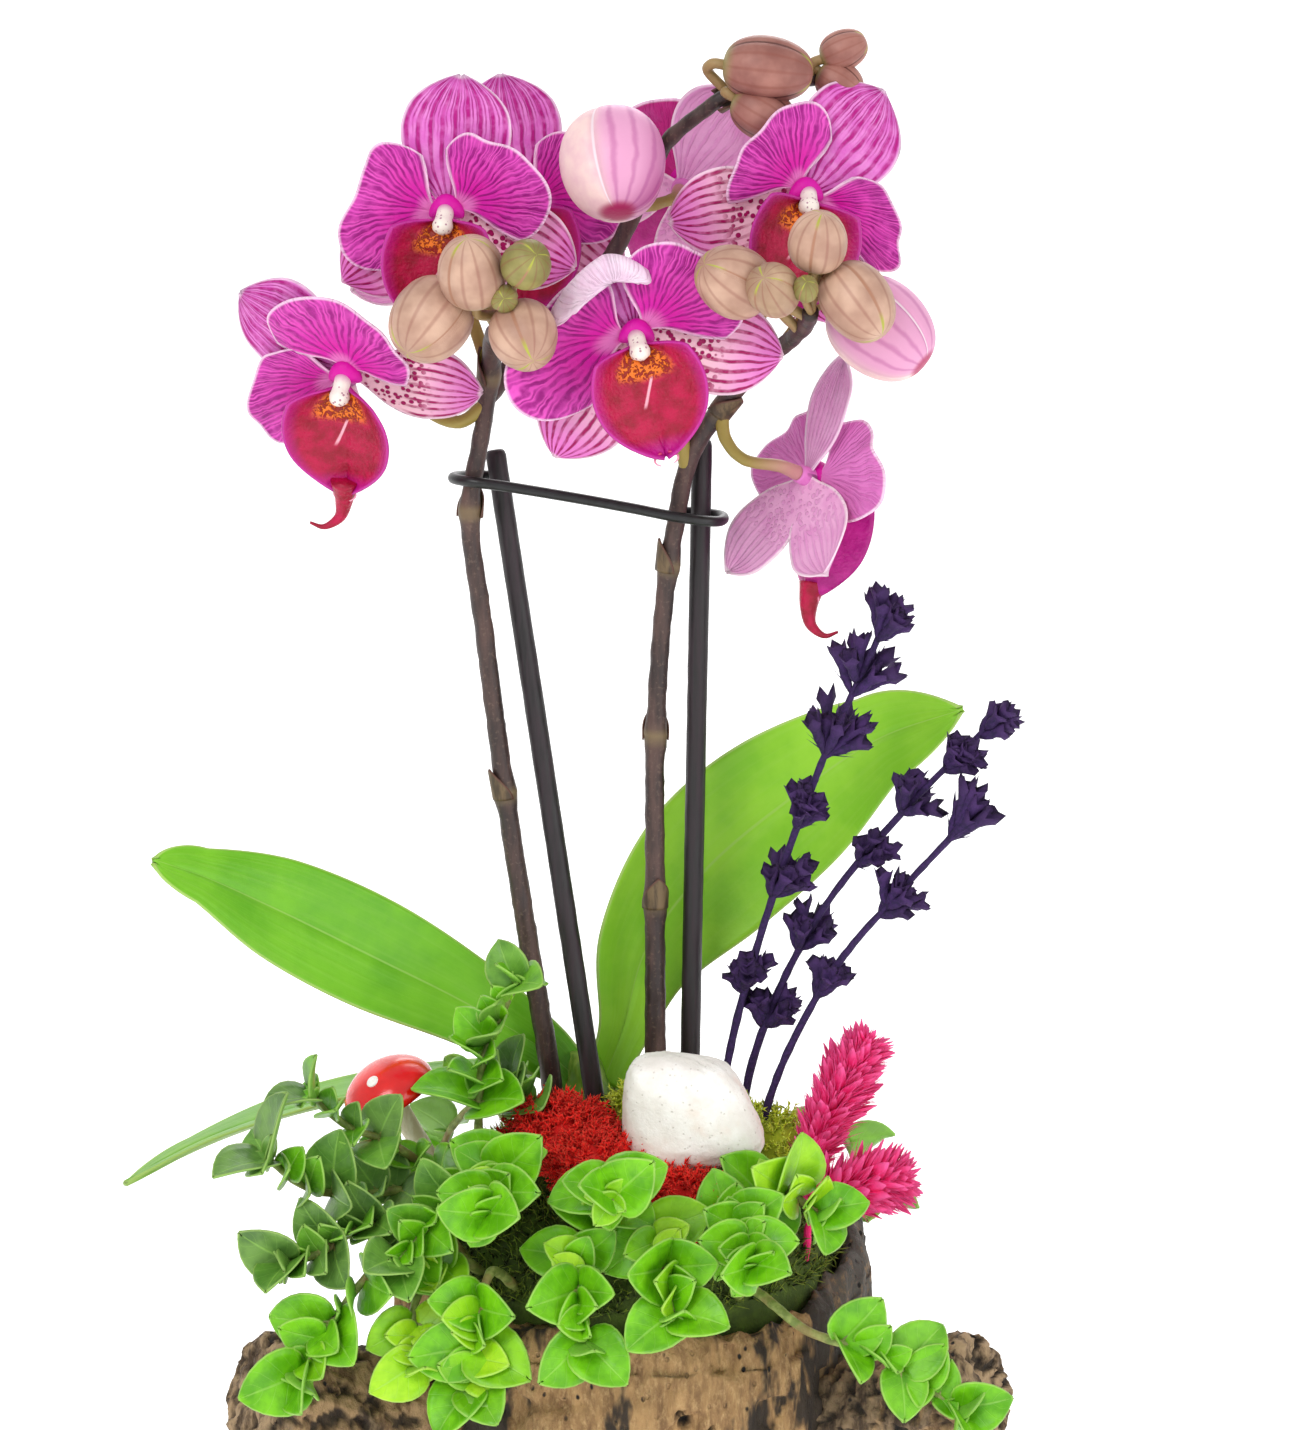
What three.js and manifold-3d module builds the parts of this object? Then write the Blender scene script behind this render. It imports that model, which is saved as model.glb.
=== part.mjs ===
// A moth orchid with two flower spikes, planted with heart-leaf creeper, dyed moss and dried
// flowers in a planter that looks like a piece of driftwood. Millimetres, +Z up, the viewer at -Y.
// The origin is the middle of the planter's flat foot.

import * as THREE from 'three';
import { mergeVertices } from 'three/addons/utils/BufferGeometryUtils.js';
import Module from 'manifold-3d';

const wasm = await Module();
wasm.setup();
const { Manifold } = wasm;

// Clearance between two pieces that stand in or against each other.
const GAP = 0.35;

// Planter
const POT_RADIUS = 51.5;
const POT_SIDES = 20;
const RIM_HEIGHT = 98;
const CAVITY_FLOOR = 14;
const CAVITY_FOOT_RADIUS = 42;
const CAVITY_RIM_RADIUS = 45.5;
const STUBS = [
  { root: [-43, -22.8, 67], end: [-79, -43, 82], radius: 13 },
  { root: [43.8, -21.9, 68], end: [74, -41, 83.5], radius: 11.5 },
];

// Soil and the dome of moss heaped on it
const SOIL_TOP = 89;
const MOSS_FOOT = 95;
const MOSS_RISE = 36;
const MOSS_RADIUS = 44.6;

// Stakes, spikes and clip
const STAKE_RADIUS = 2.2;
const SPIKE_RADIUS = 2.3;
const PEDICEL_RADIUS = 1.35;
const STEM_STEPS = 16;
const CLIP_WIRE_RADIUS = 1.05;
const STAKES = {
  left: { foot: [2.9, -7.4, 60], top: [-28.7, 6, 274] },
  right: { foot: [11.4, 3.4, 60], top: [15, 5, 276.4] },
};

// Blades
const TEPAL_THICKNESS = 0.7;
const LEAF_THICKNESS = 1.5;
const CREEPER_THICKNESS = 0.9;

// Open blooms. facing is the azimuth (0 to the viewer, 90 to the right) and the elevation of the way
// the bloom looks. Angles are degrees round its face, 0 to its right and 90 up: those of the dorsal
// sepal, of the right and left sepals and of the lip, and the two that the fan of each petal lies
// between. reach is how far the petal's edge is from the heart, at even steps round its fan.
const BLOOMS = [
  {
    name: 'front_left',
    at: [-37, -14, 325.3],
    facing: [-8, -6],
    size: 1,
    angles: { dorsal: 84, right: -25, left: -147, lip: -92 },
    petals: [
      { fan: [-23, 93], reach: [17, 21, 21.9, 20.5, 18.3, 17.7, 14.5] },
      { fan: [109, 234], reach: [14, 19.5, 19.7, 19.2, 23.6, 21.8, 15.5] },
    ],
  },
  {
    name: 'behind_left',
    at: [-23.6, 20, 324.5],
    facing: [8, 4],
    size: 1,
    angles: { dorsal: 97, right: -38, left: -150, lip: -90 },
    petals: [
      { fan: [-38, 78], reach: [16, 21.5, 22, 20, 19, 18.5, 14] },
      { fan: [110, 226], reach: [14, 18.5, 19, 20, 23.5, 22, 16] },
    ],
  },
  {
    name: 'low_left',
    at: [-58.3, -9, 291.8],
    facing: [-18, -28],
    size: 1,
    angles: { dorsal: 142, right: -12, left: -125, lip: -95 },
    petals: [
      { fan: [-12, 128], reach: [14.5, 15, 15.6, 17, 19.6, 17.6, 12.5] },
      { fan: [140, 240], reach: [11, 16, 19.5, 22.5, 26, 25.5, 19] },
    ],
  },
  {
    name: 'centre',
    at: [1.2, -25, 301.3],
    facing: [4, -8],
    size: 1.1,
    angles: { dorsal: 112, right: -10, left: -122, lip: -76 },
    petals: [
      { fan: [-4, 99], reach: [18, 20.5, 19.9, 20.2, 20.2, 17.8, 12.5] },
      { fan: [121, 242], reach: [12.5, 15.2, 17.5, 20.2, 26, 24, 16.5] },
    ],
  },
  {
    name: 'front_right',
    at: [35.5, -8, 328.1],
    facing: [12, 0],
    size: 1,
    angles: { dorsal: 50, right: -72, left: 190, lip: -106 },
    petals: [
      { fan: [-50, 26], reach: [22, 24.5, 22, 19.8, 17.4, 15, 11] },
      { fan: [60, 187], reach: [14, 19.5, 18.9, 17.2, 16.5, 16.8, 17.5] },
    ],
  },
  {
    name: 'hanging',
    at: [37.6, 0.5, 268.8],
    facing: [128, -22],
    size: 0.96,
    angles: { dorsal: 97, right: -62, left: -132, lip: -90 },
    petals: [
      { fan: [-30, 88], reach: [15.5, 20.5, 21.5, 19.5, 18.5, 18, 13.5] },
      { fan: [102, 218], reach: [13.5, 18, 18.5, 19.5, 22.5, 21, 15.5] },
    ],
  },
  {
    name: 'back_top',
    at: [11, 27, 328],
    facing: [168, 14],
    size: 1,
    angles: { dorsal: 128, right: -2, left: -98, lip: -53 },
    petals: [
      { fan: [-6, 110], reach: [16, 21.5, 22, 20, 19, 18.5, 14] },
      { fan: [144, 260], reach: [14, 18.5, 19, 20, 23.5, 22, 16] },
    ],
  },
  {
    name: 'back_left',
    at: [-40, 37, 320],
    facing: [-150, 6],
    size: 1,
    angles: { dorsal: 102, right: -30, left: -142, lip: -88 },
    petals: [
      { fan: [-32, 84], reach: [16, 21.5, 22, 20, 19, 18.5, 14] },
      { fan: [114, 230], reach: [14, 18.5, 19, 20, 23.5, 22, 16] },
    ],
  },
];
const DORSAL_LENGTH = 26.2;
const DORSAL_WIDTH = 22;
const SEPAL_LENGTH = 26.5;
const SEPAL_WIDTH = 17.5;
const BLOOM_BACK = 3.6;

// Large buds that open: centre, the way the tip points, length and width
const OPENING_BUDS = [
  { name: 'opening_bud_top', at: [-3.4, -12, 334.9], tip: [0.08, -0.6, -0.8], length: 23.5, width: 21 },
  { name: 'opening_bud_right', at: [51, -18, 302], tip: [0.75, -0.3, -0.6], length: 23, width: 19 },
];

// Spikes: the route of each main stem and side branch, the heights of its joints, and its closed
// buds. A bud hangs on a thin stalk that leaves the stem at its from point.
const SPIKES = [
  {
    name: 'spike_left',
    stem: [
      [-16.4, 2, 108], [-17.2, 2, 133], [-22.6, 1, 170], [-27, 0, 201.6], [-31, -1, 236],
      [-33.8, -2, 262], [-31.2, -2.5, 278], [-29.2, -4, 290.5], [-28.4, -12, 299.5], [-26, -24, 303.5],
      [-24.3, -34, 308],
    ],
    joints: [201, 262, 291],
    branch: [
      [-30, -2.5, 286], [-24, 3, 293.5], [-14, 8.5, 302], [-5, 11, 313], [2, 11, 326],
      [7.1, 8, 337.6], [14, 4.5, 344], [21.5, 2, 349], [30, 2, 350], [38.5, 3, 351.5],
    ],
    stalks: [
      { bloom: 'front_left', from: [-29, -5, 291.5], via: [[-33.5, -2, 304], [-37, 0, 315]] },
      {
        bloom: 'low_left',
        from: [-29.8, -3, 285],
        via: [[-36, -2.5, 281], [-46, 2, 285], [-52.5, 3, 291.5]],
      },
      { bloom: 'behind_left', from: [-18, 6.5, 298.5], via: [[-21, 19, 301], [-24, 28.5, 312]] },
      { bloom: 'back_left', from: [-25, 2, 292.5], via: [[-28, 14, 298], [-33, 25, 306]] },
      { bloom: 'back_top', from: [2, 11, 325], via: [[4.5, 13.5, 324.8], [7, 16, 325.3]] },
      { bud: 'opening_bud_top', from: [1.5, 11, 325], via: [[-1, 9.5, 334], [-3.5, 5, 343]] },
    ],
    buds: [
      { at: [-39.9, -32, 305.4], tip: [-0.45, -0.45, -0.6], size: [17.5, 15.5], from: [-26, -25, 304] },
      { at: [-31.2, -38, 315.5], tip: [-0.1, -0.4, 0.9], size: [15, 12.8], from: [-25, -30, 306.3] },
      { at: [-20.2, -42.5, 317.5], tip: [0.35, -0.8, 0.4], size: [10.5, 9.4], from: [-24.4, -33, 307.6] },
      { at: [-21, -37, 302.8], tip: [0.25, -0.75, -0.6], size: [14.5, 13], from: [-25.6, -27, 304.8] },
      { at: [-24.8, -39.5, 310.4], tip: [0, -0.9, 0.1], size: [6, 5.4], from: [-24.3, -34, 307.9] },
      {
        at: [28.1, -3.5, 353.6],
        tip: [0.95, -0.1, -0.1],
        size: [18.5, 13],
        from: [20.5, 2, 348.4],
        loop: true,
      },
      { at: [27.3, -3, 344.6], tip: [0.8, -0.15, -0.45], size: [14, 10.5], from: [20.5, 2, 348] },
      { at: [43.8, 1.5, 357.4], tip: [0.9, -0.1, 0.4], size: [10, 8], from: [37, 2.8, 351.3] },
      { at: [43, 1.5, 350.6], tip: [0.8, -0.2, -0.45], size: [10, 8.6], from: [36, 2.6, 351] },
    ],
  },
  {
    name: 'spike_right',
    stem: [
      [4.9, 3, 106], [5.1, 3, 142], [5.1, 3, 178], [5.2, 3, 213], [6.8, 2, 240], [9.2, 0.5, 258],
      [12.4, 0, 273], [18.5, -3, 283.5], [24.8, -9, 291.8], [30.5, -13, 297.5], [34.8, -22, 302.5],
      [36.2, -32, 307],
    ],
    joints: [176, 213, 250, 284],
    stalks: [
      { bloom: 'centre', from: [11.6, 0, 271], via: [[9.5, -4, 284], [4.5, -11, 294]] },
      { bloom: 'front_right', from: [23.5, -8, 290.5], via: [[27, -0.5, 303], [30.5, 3.5, 316]] },
      { bloom: 'hanging', from: [19, -3.4, 284.3], via: [[19.6, -4.2, 278], [23.4, -5.2, 273.6]] },
      { bud: 'opening_bud_right', from: [31.8, -15, 299], via: [[35, -14.5, 303.5], [38.4, -15.4, 307]] },
    ],
    buds: [
      { at: [20.5, -35, 313.4], tip: [-0.55, -0.35, 0.35], size: [16, 13.6], from: [34.4, -21, 302] },
      { at: [28.2, -39.5, 312.2], tip: [-0.25, -0.7, 0.35], size: [13.5, 10], from: [35.8, -28.5, 305.4] },
      { at: [37.2, -37, 321.4], tip: [0.1, -0.35, 0.9], size: [12.5, 11.2], from: [36.1, -31, 306.5] },
      { at: [45.2, -35, 309.2], tip: [0.45, -0.35, -0.6], size: [17, 13.4], from: [35.2, -24.5, 303.6] },
      { at: [34.6, -41.5, 312.6], tip: [0, -0.8, 0.5], size: [6, 5], from: [36.1, -31.8, 306.9] },
    ],
  },
];

// Clip: one wire that passes before both spikes and hooks back round each pair of stem and stake
const CLIP_ROUTE = [
  [-26, 10.2, 267.5], [-32, 9.8, 268], [-36.6, 4.5, 268.6], [-37, -2, 269], [-33.5, -6.2, 269],
  [-27, -6.6, 268.2], [-14, -6.2, 266], [0, -5.8, 263.4], [10, -5.6, 261.4], [17.2, -3.6, 260.2],
  [19.4, 1.5, 259.8], [18.8, 7.4, 259.8], [14, 9.8, 260], [8, 8.6, 260.6],
];

// Large leaves of the orchid: middle line, half widths along it, and the side that its face turns to
const LEAVES = [
  {
    name: 'leaf_left',
    line: [
      [-11.5, 8, 134], [-18, 8.6, 140], [-35, 7, 151.5], [-56, 4, 163.5], [-77, 0, 175.5],
      [-92, -5, 184], [-101.5, -8, 188],
    ],
    widths: [4, 6, 9.8, 12.6, 11.5, 6.5, 1],
    face: [-0.25, -0.72, 0.66],
    fold: 0.16,
  },
  {
    name: 'leaf_right',
    line: [
      [-6.5, 9, 133.5], [-2, 11.5, 145], [3, 15, 162], [16, 19, 179], [35, 21, 195], [54, 22, 208],
      [72.5, 23, 214.5],
    ],
    widths: [4.5, 6, 12, 17, 16.5, 10, 1],
    face: [0.28, -0.9, 0.25],
    fold: 0.2,
  },
  {
    name: 'leaf_low',
    line: [
      [-11, 12, 132.5], [-19, 16, 133.5], [-36, 17, 132.5], [-58, 11, 130.5], [-76, 3, 128.5],
      [-93, -9, 125.5], [-107.5, -22, 121],
    ],
    widths: [4.5, 5.5, 8, 9, 8, 5, 1],
    face: [-0.1, 0.12, 1],
    fold: 0.25,
  },
];
const CROWN = { foot: [-8, 8, 108], top: [-10.5, 8, 141], radius: 5.4 };

// Dried flowers
const LAVENDER = [
  {
    name: 'lavender_tall',
    route: [[17.5, -3, 106], [20.5, -2.5, 140], [29, -4, 175], [40, -6, 208], [52.6, -8, 238]],
  },
  {
    name: 'lavender_long',
    route: [[22.5, 6, 106], [26.5, 0, 142], [40, -2, 174], [58, -4, 198], [75.4, -5, 216.5]],
  },
  {
    name: 'lavender_short',
    route: [[26.5, -5, 104], [29.5, -7, 134], [43, -9, 164], [57, -11, 182], [68.6, -12, 195.5]],
  },
];
const WHORLS = {
  lavender_tall: [0.4, 0.56, 0.68, 0.8, 0.91, 1],
  lavender_long: [0.37, 0.52, 0.7, 0.81, 0.92, 1],
  lavender_short: [0.56, 0.79, 1],
};
const FLORETS_PER_WHORL = 5;
const FLORET_LENGTH = 6.6;
const LAVENDER_STEM_RADIUS = 1;
const GRASS_HEADS = [
  {
    name: 'grass_head_tall',
    route: [[31, -14, 108], [36, -13.5, 118], [42, -12, 132], [50.5, -10, 148.5]],
    width: 13,
  },
  {
    name: 'grass_head_low',
    route: [[37, -21, 103], [39, -21.5, 114.5], [46.5, -22.5, 119.5], [57, -23.5, 122.5]],
    width: 14,
  },
];

// Pebble and toy mushroom
const PEBBLE = { at: [12.2, -22.5, 137.6], size: [28, 20, 24] };
const MUSHROOM = {
  foot: [-36, -5, 106], bend: [-44.4, -7.4, 122.5], neck: [-52.1, -9, 137.2],
  stemRadius: 2.2, capRadius: 9.6, capHeight: 8.4,
};

// Lumps of dyed moss: centre and half sizes
const RED_MOSS = [
  { at: [-14.5, -15, 129], size: [10.5, 9.5, 6.6] },
  { at: [-5.5, -26.5, 126], size: [11.5, 8.5, 6] },
  { at: [9, -35, 119.5], size: [13, 7, 7.4] },
];
const LIME_MOSS = [
  { at: [31, -6, 123], size: [9.5, 9, 7.5] },
  { at: [18, -7, 129], size: [10, 4.6, 5.5] },
  { at: [4, -7, 132], size: [8.5, 4, 5.5] },
];

// Creeper: each stem's route from its root in the moss, the length of its leaves at the root end
// and at the tip, and how many pairs of leaves it has.
const CREEPERS = [
  {
    name: 'creeper_shoot',
    route: [
      [-31.5, -13, 115], [-32.6, -15.5, 131], [-31.5, -15, 146], [-28, -13, 155], [-24.5, -13, 162],
    ],
    leaf: [13, 10],
    pairs: 3,
    start: 0.45,
  },
  {
    name: 'creeper_back_left',
    route: [[-20, -4, 121], [-21.5, -6, 133], [-25, -7, 138.5], [-29, -8.5, 140], [-33, -9.5, 139]],
    leaf: [13, 11],
    pairs: 3,
    start: 0.45,
  },
  {
    name: 'creeper_by_mushroom',
    route: [[-35, -17, 109.5], [-42, -20, 122], [-51, -25, 131], [-60, -28, 136], [-66, -29, 142]],
    leaf: [12, 11.5],
    pairs: 3,
    start: 0.3,
  },
  {
    name: 'creeper_far_left',
    route: [[-37, -18, 106], [-45, -24, 119.5], [-57, -32, 122], [-67, -37, 125], [-74.5, -40, 132]],
    leaf: [12, 14],
    pairs: 3,
    start: 0.4,
  },
  {
    name: 'creeper_left',
    route: [
      [-34, -25, 104.5], [-44, -31, 116.5], [-56, -40, 117.5], [-64.5, -44.5, 113.5],
      [-70, -46.5, 112.5],
    ],
    leaf: [12, 12.5],
    pairs: 4,
    start: 0.4,
  },
  {
    name: 'creeper_left_hanging',
    route: [
      [-31, -29, 103.5], [-42, -39, 113.5], [-53, -48, 111], [-61, -54.5, 102.5],
      [-66.5, -59.5, 93.5],
    ],
    leaf: [12, 13.5],
    pairs: 4,
    start: 0.4,
  },
  {
    name: 'creeper_front_left',
    route: [[-22, -26, 116], [-26, -33, 127.5], [-28, -44, 128.5], [-29, -55, 126]],
    leaf: [12, 12.5],
    pairs: 4,
    start: 0.4,
  },
  {
    name: 'creeper_front',
    route: [[-6, -37, 109], [-5, -42, 123], [-4.2, -49, 129.5], [-3.6, -57, 130]],
    leaf: [12, 12.5],
    pairs: 4,
    start: 0.4,
  },
  {
    name: 'creeper_low_front',
    route: [[3, -36, 109.5], [5, -47, 118.5], [7.5, -56.5, 113.5], [8.8, -62.5, 107.5]],
    leaf: [12.5, 13],
    pairs: 3,
    start: 0.4,
  },
  {
    name: 'creeper_front_right',
    route: [[17, -34, 108.5], [21, -43, 119], [23, -52.5, 119.5], [24.3, -60, 116.8]],
    leaf: [11, 11.5],
    pairs: 4,
    start: 0.4,
  },
  {
    name: 'creeper_right',
    route: [[25, -27, 110.5], [28, -34, 122], [33, -39.5, 125], [38.5, -42, 121.5]],
    leaf: [12.5, 13],
    pairs: 3,
    start: 0.45,
  },
  {
    name: 'creeper_trailing',
    route: [
      [22, -36.5, 101], [25.5, -50, 107.5], [36.7, -58, 101.5], [49, -58.5, 97.5], [60, -58.5, 90],
      [66.5, -60.5, 86],
    ],
    leaf: [13, 12],
    pairs: 4,
    start: 0.36,
  },
  {
    name: 'creeper_centre_hanging',
    route: [[-24, -36, 103], [-29, -48, 110.5], [-31.6, -56, 101], [-32, -58.5, 90.5]],
    leaf: [12, 12.5],
    pairs: 4,
    start: 0.4,
  },
  {
    name: 'creeper_lime',
    route: [[-31, -33, 101], [-39, -42.5, 110], [-44.5, -51, 104.5], [-43, -57, 95]],
    leaf: [11, 11],
    pairs: 4,
    start: 0.4,
  },
  {
    name: 'creeper_upper_left',
    route: [[-27, -22, 114.5], [-32, -31, 124], [-40, -42.5, 121], [-47.5, -50.5, 114.5]],
    leaf: [12, 11.5],
    pairs: 4,
    start: 0.35,
  },
  {
    name: 'creeper_under_front',
    route: [[-10, -39, 104.5], [-10.5, -51, 114.5], [-10.5, -58, 109], [-9.6, -61.5, 101.5]],
    leaf: [12, 13],
    pairs: 3,
    start: 0.4,
  },
  {
    name: 'creeper_back_middle',
    route: [[4, 30, 114], [5, 42, 121], [7, 54, 112], [8, 59.5, 98]],
    leaf: [13, 12],
    pairs: 3,
    start: 0.4,
  },
  {
    name: 'creeper_back_right',
    route: [[28, 22, 114], [39, 31, 120], [49, 38.5, 110], [53, 41.5, 97]],
    leaf: [13, 12],
    pairs: 3,
    start: 0.4,
  },
  {
    name: 'creeper_back_far',
    route: [[-24, 28, 112], [-33, 40, 119], [-42, 48, 110], [-46, 52, 97]],
    leaf: [13, 12],
    pairs: 3,
    start: 0.4,
  },
];
const CREEPER_STEM_RADIUS = 1.1;
const LEAF_TURNS = [0, 14, -14, 28, -28, 42, -42];
const LEAF_LIFTS = [0, 16, -16, 32];

const vec = (p) => new THREE.Vector3(p[0], p[1], p[2]);
const radians = THREE.MathUtils.degToRad;

// A repeatable draw from 0 to 1 for a whole number.
function draw(seed) {
  const s = Math.sin(seed * 12.9898 + 4.1414) * 43758.5453;
  return s - Math.floor(s);
}

// A smooth curve through points.
function routeCurve(route) {
  return new THREE.CatmullRomCurve3(route.map((p) => (p.isVector3 ? p : vec(p))), false, 'centripetal');
}

// The closed solid of a geometry.
function solid(geometry) {
  const bare = geometry.index ? geometry.toNonIndexed() : geometry.clone();
  bare.deleteAttribute('normal');
  bare.deleteAttribute('uv');
  const merged = mergeVertices(bare, 1e-4);
  return new Manifold(new wasm.Mesh({
    numProp: 3,
    vertProperties: new Float32Array(merged.attributes.position.array),
    triVerts: new Uint32Array(merged.index.array),
  }));
}

// The closed solid of points and faces.
function polyhedron(points, faces) {
  const geometry = new THREE.BufferGeometry();
  geometry.setAttribute('position', new THREE.Float32BufferAttribute(points.flatMap((p) => p.toArray()), 3));
  geometry.setIndex(faces.flat());
  const body = solid(geometry);
  if (body.volume() < 0) {
    return polyhedron(points, faces.map(([a, b, c]) => [a, c, b]));
  }
  return body;
}

// The largest body of a solid, without loose scraps.
function largest(body) {
  const parts = body.decompose();
  parts.sort((a, b) => b.volume() - a.volume());
  return parts[0];
}

// A solid through rings of points. A ring of one point closes an end; another end is capped flat.
function loft(rings) {
  const points = [];
  const starts = [];
  for (const ring of rings) {
    starts.push(points.length);
    points.push(...ring);
  }
  const faces = [];
  for (let k = 0; k + 1 < rings.length; k += 1) {
    const lower = rings[k].length;
    const upper = rings[k + 1].length;
    const sides = Math.max(lower, upper);
    for (let j = 0; j < sides; j += 1) {
      const next = (j + 1) % sides;
      const a = starts[k] + (lower > 1 ? j : 0);
      const b = starts[k] + (lower > 1 ? next : 0);
      const c = starts[k + 1] + (upper > 1 ? next : 0);
      const d = starts[k + 1] + (upper > 1 ? j : 0);
      if (lower > 1) faces.push([a, b, c]);
      if (upper > 1) faces.push([a, c, d]);
    }
  }
  for (const [ring, start, flip] of [[rings[0], starts[0], true], [rings.at(-1), starts.at(-1), false]]) {
    if (ring.length > 1) {
      const middle = points.length;
      points.push(ring.reduce((sum, p) => sum.add(p), new THREE.Vector3()).divideScalar(ring.length));
      for (let j = 0; j < ring.length; j += 1) {
        const next = (j + 1) % ring.length;
        faces.push(flip ? [middle, start + next, start + j] : [middle, start + j, start + next]);
      }
    }
  }
  return polyhedron(points, faces);
}

// A round tube along a smooth route. radius is a number or a function of the share of the length
// and the point there, and 0 closes an end in a point. steps is a count or a list of shares. grow
// makes the tube larger all round and longer at both ends.
function tube(route, radius, sides, steps, grow = 0) {
  const curve = routeCurve(route);
  const shares = Array.isArray(steps) ? steps : Array.from({ length: steps + 1 }, (unused, k) => k / steps);
  const fine = 60;
  const frames = curve.computeFrenetFrames(fine, false);
  const rings = shares.map((share) => {
    const k = Math.round(share * fine);
    const middle = curve.getPointAt(share);
    if (share === 0) middle.addScaledVector(frames.tangents[k], -grow);
    if (share === 1) middle.addScaledVector(frames.tangents[k], grow);
    const r = (typeof radius === 'function' ? radius(share, middle) : radius) + grow;
    if (r < 1e-3) return [middle];
    return Array.from({ length: sides }, (unused, j) => {
      const angle = (2 * Math.PI * j) / sides;
      return middle.clone()
        .addScaledVector(frames.normals[k], r * Math.cos(angle))
        .addScaledVector(frames.binormals[k], r * Math.sin(angle));
    });
  });
  return loft(rings);
}

// A thin blade of even thickness round the rows of its middle surface. A row of one point is a
// tip. Both faces are split into triangles alike.
function blade(rows, thickness) {
  const flat = rows.flat();
  const starts = [];
  let count = 0;
  for (const row of rows) {
    starts.push(count);
    count += row.length;
  }
  const faces = [];
  for (let i = 0; i + 1 < rows.length; i += 1) {
    const lower = rows[i].length;
    const upper = rows[i + 1].length;
    const cells = Math.max(lower, upper) - 1;
    for (let j = 0; j < cells; j += 1) {
      const a = starts[i] + (lower > 1 ? j : 0);
      const b = starts[i] + (lower > 1 ? j + 1 : 0);
      const c = starts[i + 1] + (upper > 1 ? j + 1 : 0);
      const d = starts[i + 1] + (upper > 1 ? j : 0);
      if (lower > 1) faces.push([a, b, c]);
      if (upper > 1) faces.push([a, c, d]);
    }
  }
  const normals = flat.map(() => new THREE.Vector3());
  for (const [a, b, c] of faces) {
    const side = flat[b].clone().sub(flat[a]);
    const normal = side.cross(flat[c].clone().sub(flat[a]));
    normals[a].add(normal);
    normals[b].add(normal);
    normals[c].add(normal);
  }
  const upperPoints = flat.map((p, i) => p.clone().addScaledVector(normals[i].normalize(), thickness / 2));
  const lowerPoints = flat.map((p, i) => p.clone().addScaledVector(normals[i], -thickness / 2));
  const edges = new Map();
  for (const [a, b, c] of faces) {
    for (const [p, q] of [[a, b], [b, c], [c, a]]) {
      if (!edges.delete(`${q},${p}`)) edges.set(`${p},${q}`, [p, q]);
    }
  }
  const all = faces.map((f) => [...f]);
  all.push(...faces.map(([a, b, c]) => [a + count, c + count, b + count]));
  for (const [p, q] of edges.values()) {
    all.push([q, p, p + count]);
    all.push([q, p + count, q + count]);
  }
  return polyhedron([...upperPoints, ...lowerPoints], all);
}

// Axes of a piece that looks along forward, with up as near to +Z as it can be.
function lookAxes(forward) {
  const f = forward.clone().normalize();
  const right = new THREE.Vector3(0, 0, 1).cross(f);
  if (right.lengthSq() < 1e-6) right.set(1, 0, 0);
  right.normalize();
  return { right, up: f.clone().cross(right), forward: f };
}

// An egg-shaped bud with three ridges.
function bud(at, tip, length, width, sides, ringCount) {
  const axis = vec(tip).normalize();
  const { right, up } = lookAxes(axis);
  const middle = vec(at);
  const half = length / 2;
  const rings = [[middle.clone().addScaledVector(axis, -half)]];
  for (let k = 1; k < ringCount; k += 1) {
    const polar = (Math.PI * k) / ringCount;
    const taper = Math.sin(polar) ** 0.85;
    const ring = [];
    for (let j = 0; j < sides; j += 1) {
      const angle = (2 * Math.PI * j) / sides;
      const r = (width / 2) * taper * (1 + 0.05 * Math.cos(3 * angle));
      const p = middle.clone()
        .addScaledVector(axis, -half * Math.cos(polar))
        .addScaledVector(right, r * Math.cos(angle))
        .addScaledVector(up, r * Math.sin(angle));
      ring.push(p);
    }
    rings.push(ring);
  }
  rings.push([middle.clone().addScaledVector(axis, half)]);
  return loft(rings);
}

// A rough lump: a ball with its radius changed by slow waves.
function lump(at, size, sides, ringCount, roughness, seed) {
  const rings = [];
  for (let k = 0; k <= ringCount; k += 1) {
    const polar = (Math.PI * k) / ringCount;
    const pole = k === 0 || k === ringCount;
    const ring = [];
    for (let j = 0; j < (pole ? 1 : sides); j += 1) {
      const angle = (2 * Math.PI * j) / sides;
      const swell = pole ? 1 : 1 + roughness * (draw(seed + 31 * k + j) - 0.5);
      ring.push(new THREE.Vector3(
        at[0] + size[0] * swell * Math.sin(polar) * Math.cos(angle),
        at[1] + size[1] * swell * Math.sin(polar) * Math.sin(angle),
        at[2] + size[2] * swell * Math.cos(polar),
      ));
    }
    rings.push(ring);
  }
  return loft(rings);
}

// Rings of a turned body from its profile of [radius, height]; radius 0 is a single point.
function turned(profile, sides, shape = (r, z, angle) => [r, z]) {
  const rings = profile.map(([r, z, row]) => {
    if (r === 0) return [new THREE.Vector3(0, 0, z)];
    const ring = [];
    for (let j = 0; j < sides; j += 1) {
      const angle = (2 * Math.PI * j) / sides;
      const [radius, height] = shape(r, z, angle, row);
      ring.push(new THREE.Vector3(radius * Math.cos(angle), radius * Math.sin(angle), height));
    }
    return ring;
  });
  return loft(rings);
}

// Planter

function rimHeight(angle) {
  const bark = Math.max(0, Math.cos(angle - 0.5)) ** 4;
  return RIM_HEIGHT + 2.6 * Math.sin(angle) + 1.1 * Math.sin(3 * angle + 1) + 6 * bark;
}

function barkRadius(r, z, angle) {
  const furrows = 0.018 * Math.sin(5 * angle + 0.6) + 0.014 * Math.sin(9 * angle + z / 30);
  return r * (1 + furrows * Math.min(1, z / 20));
}

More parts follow.
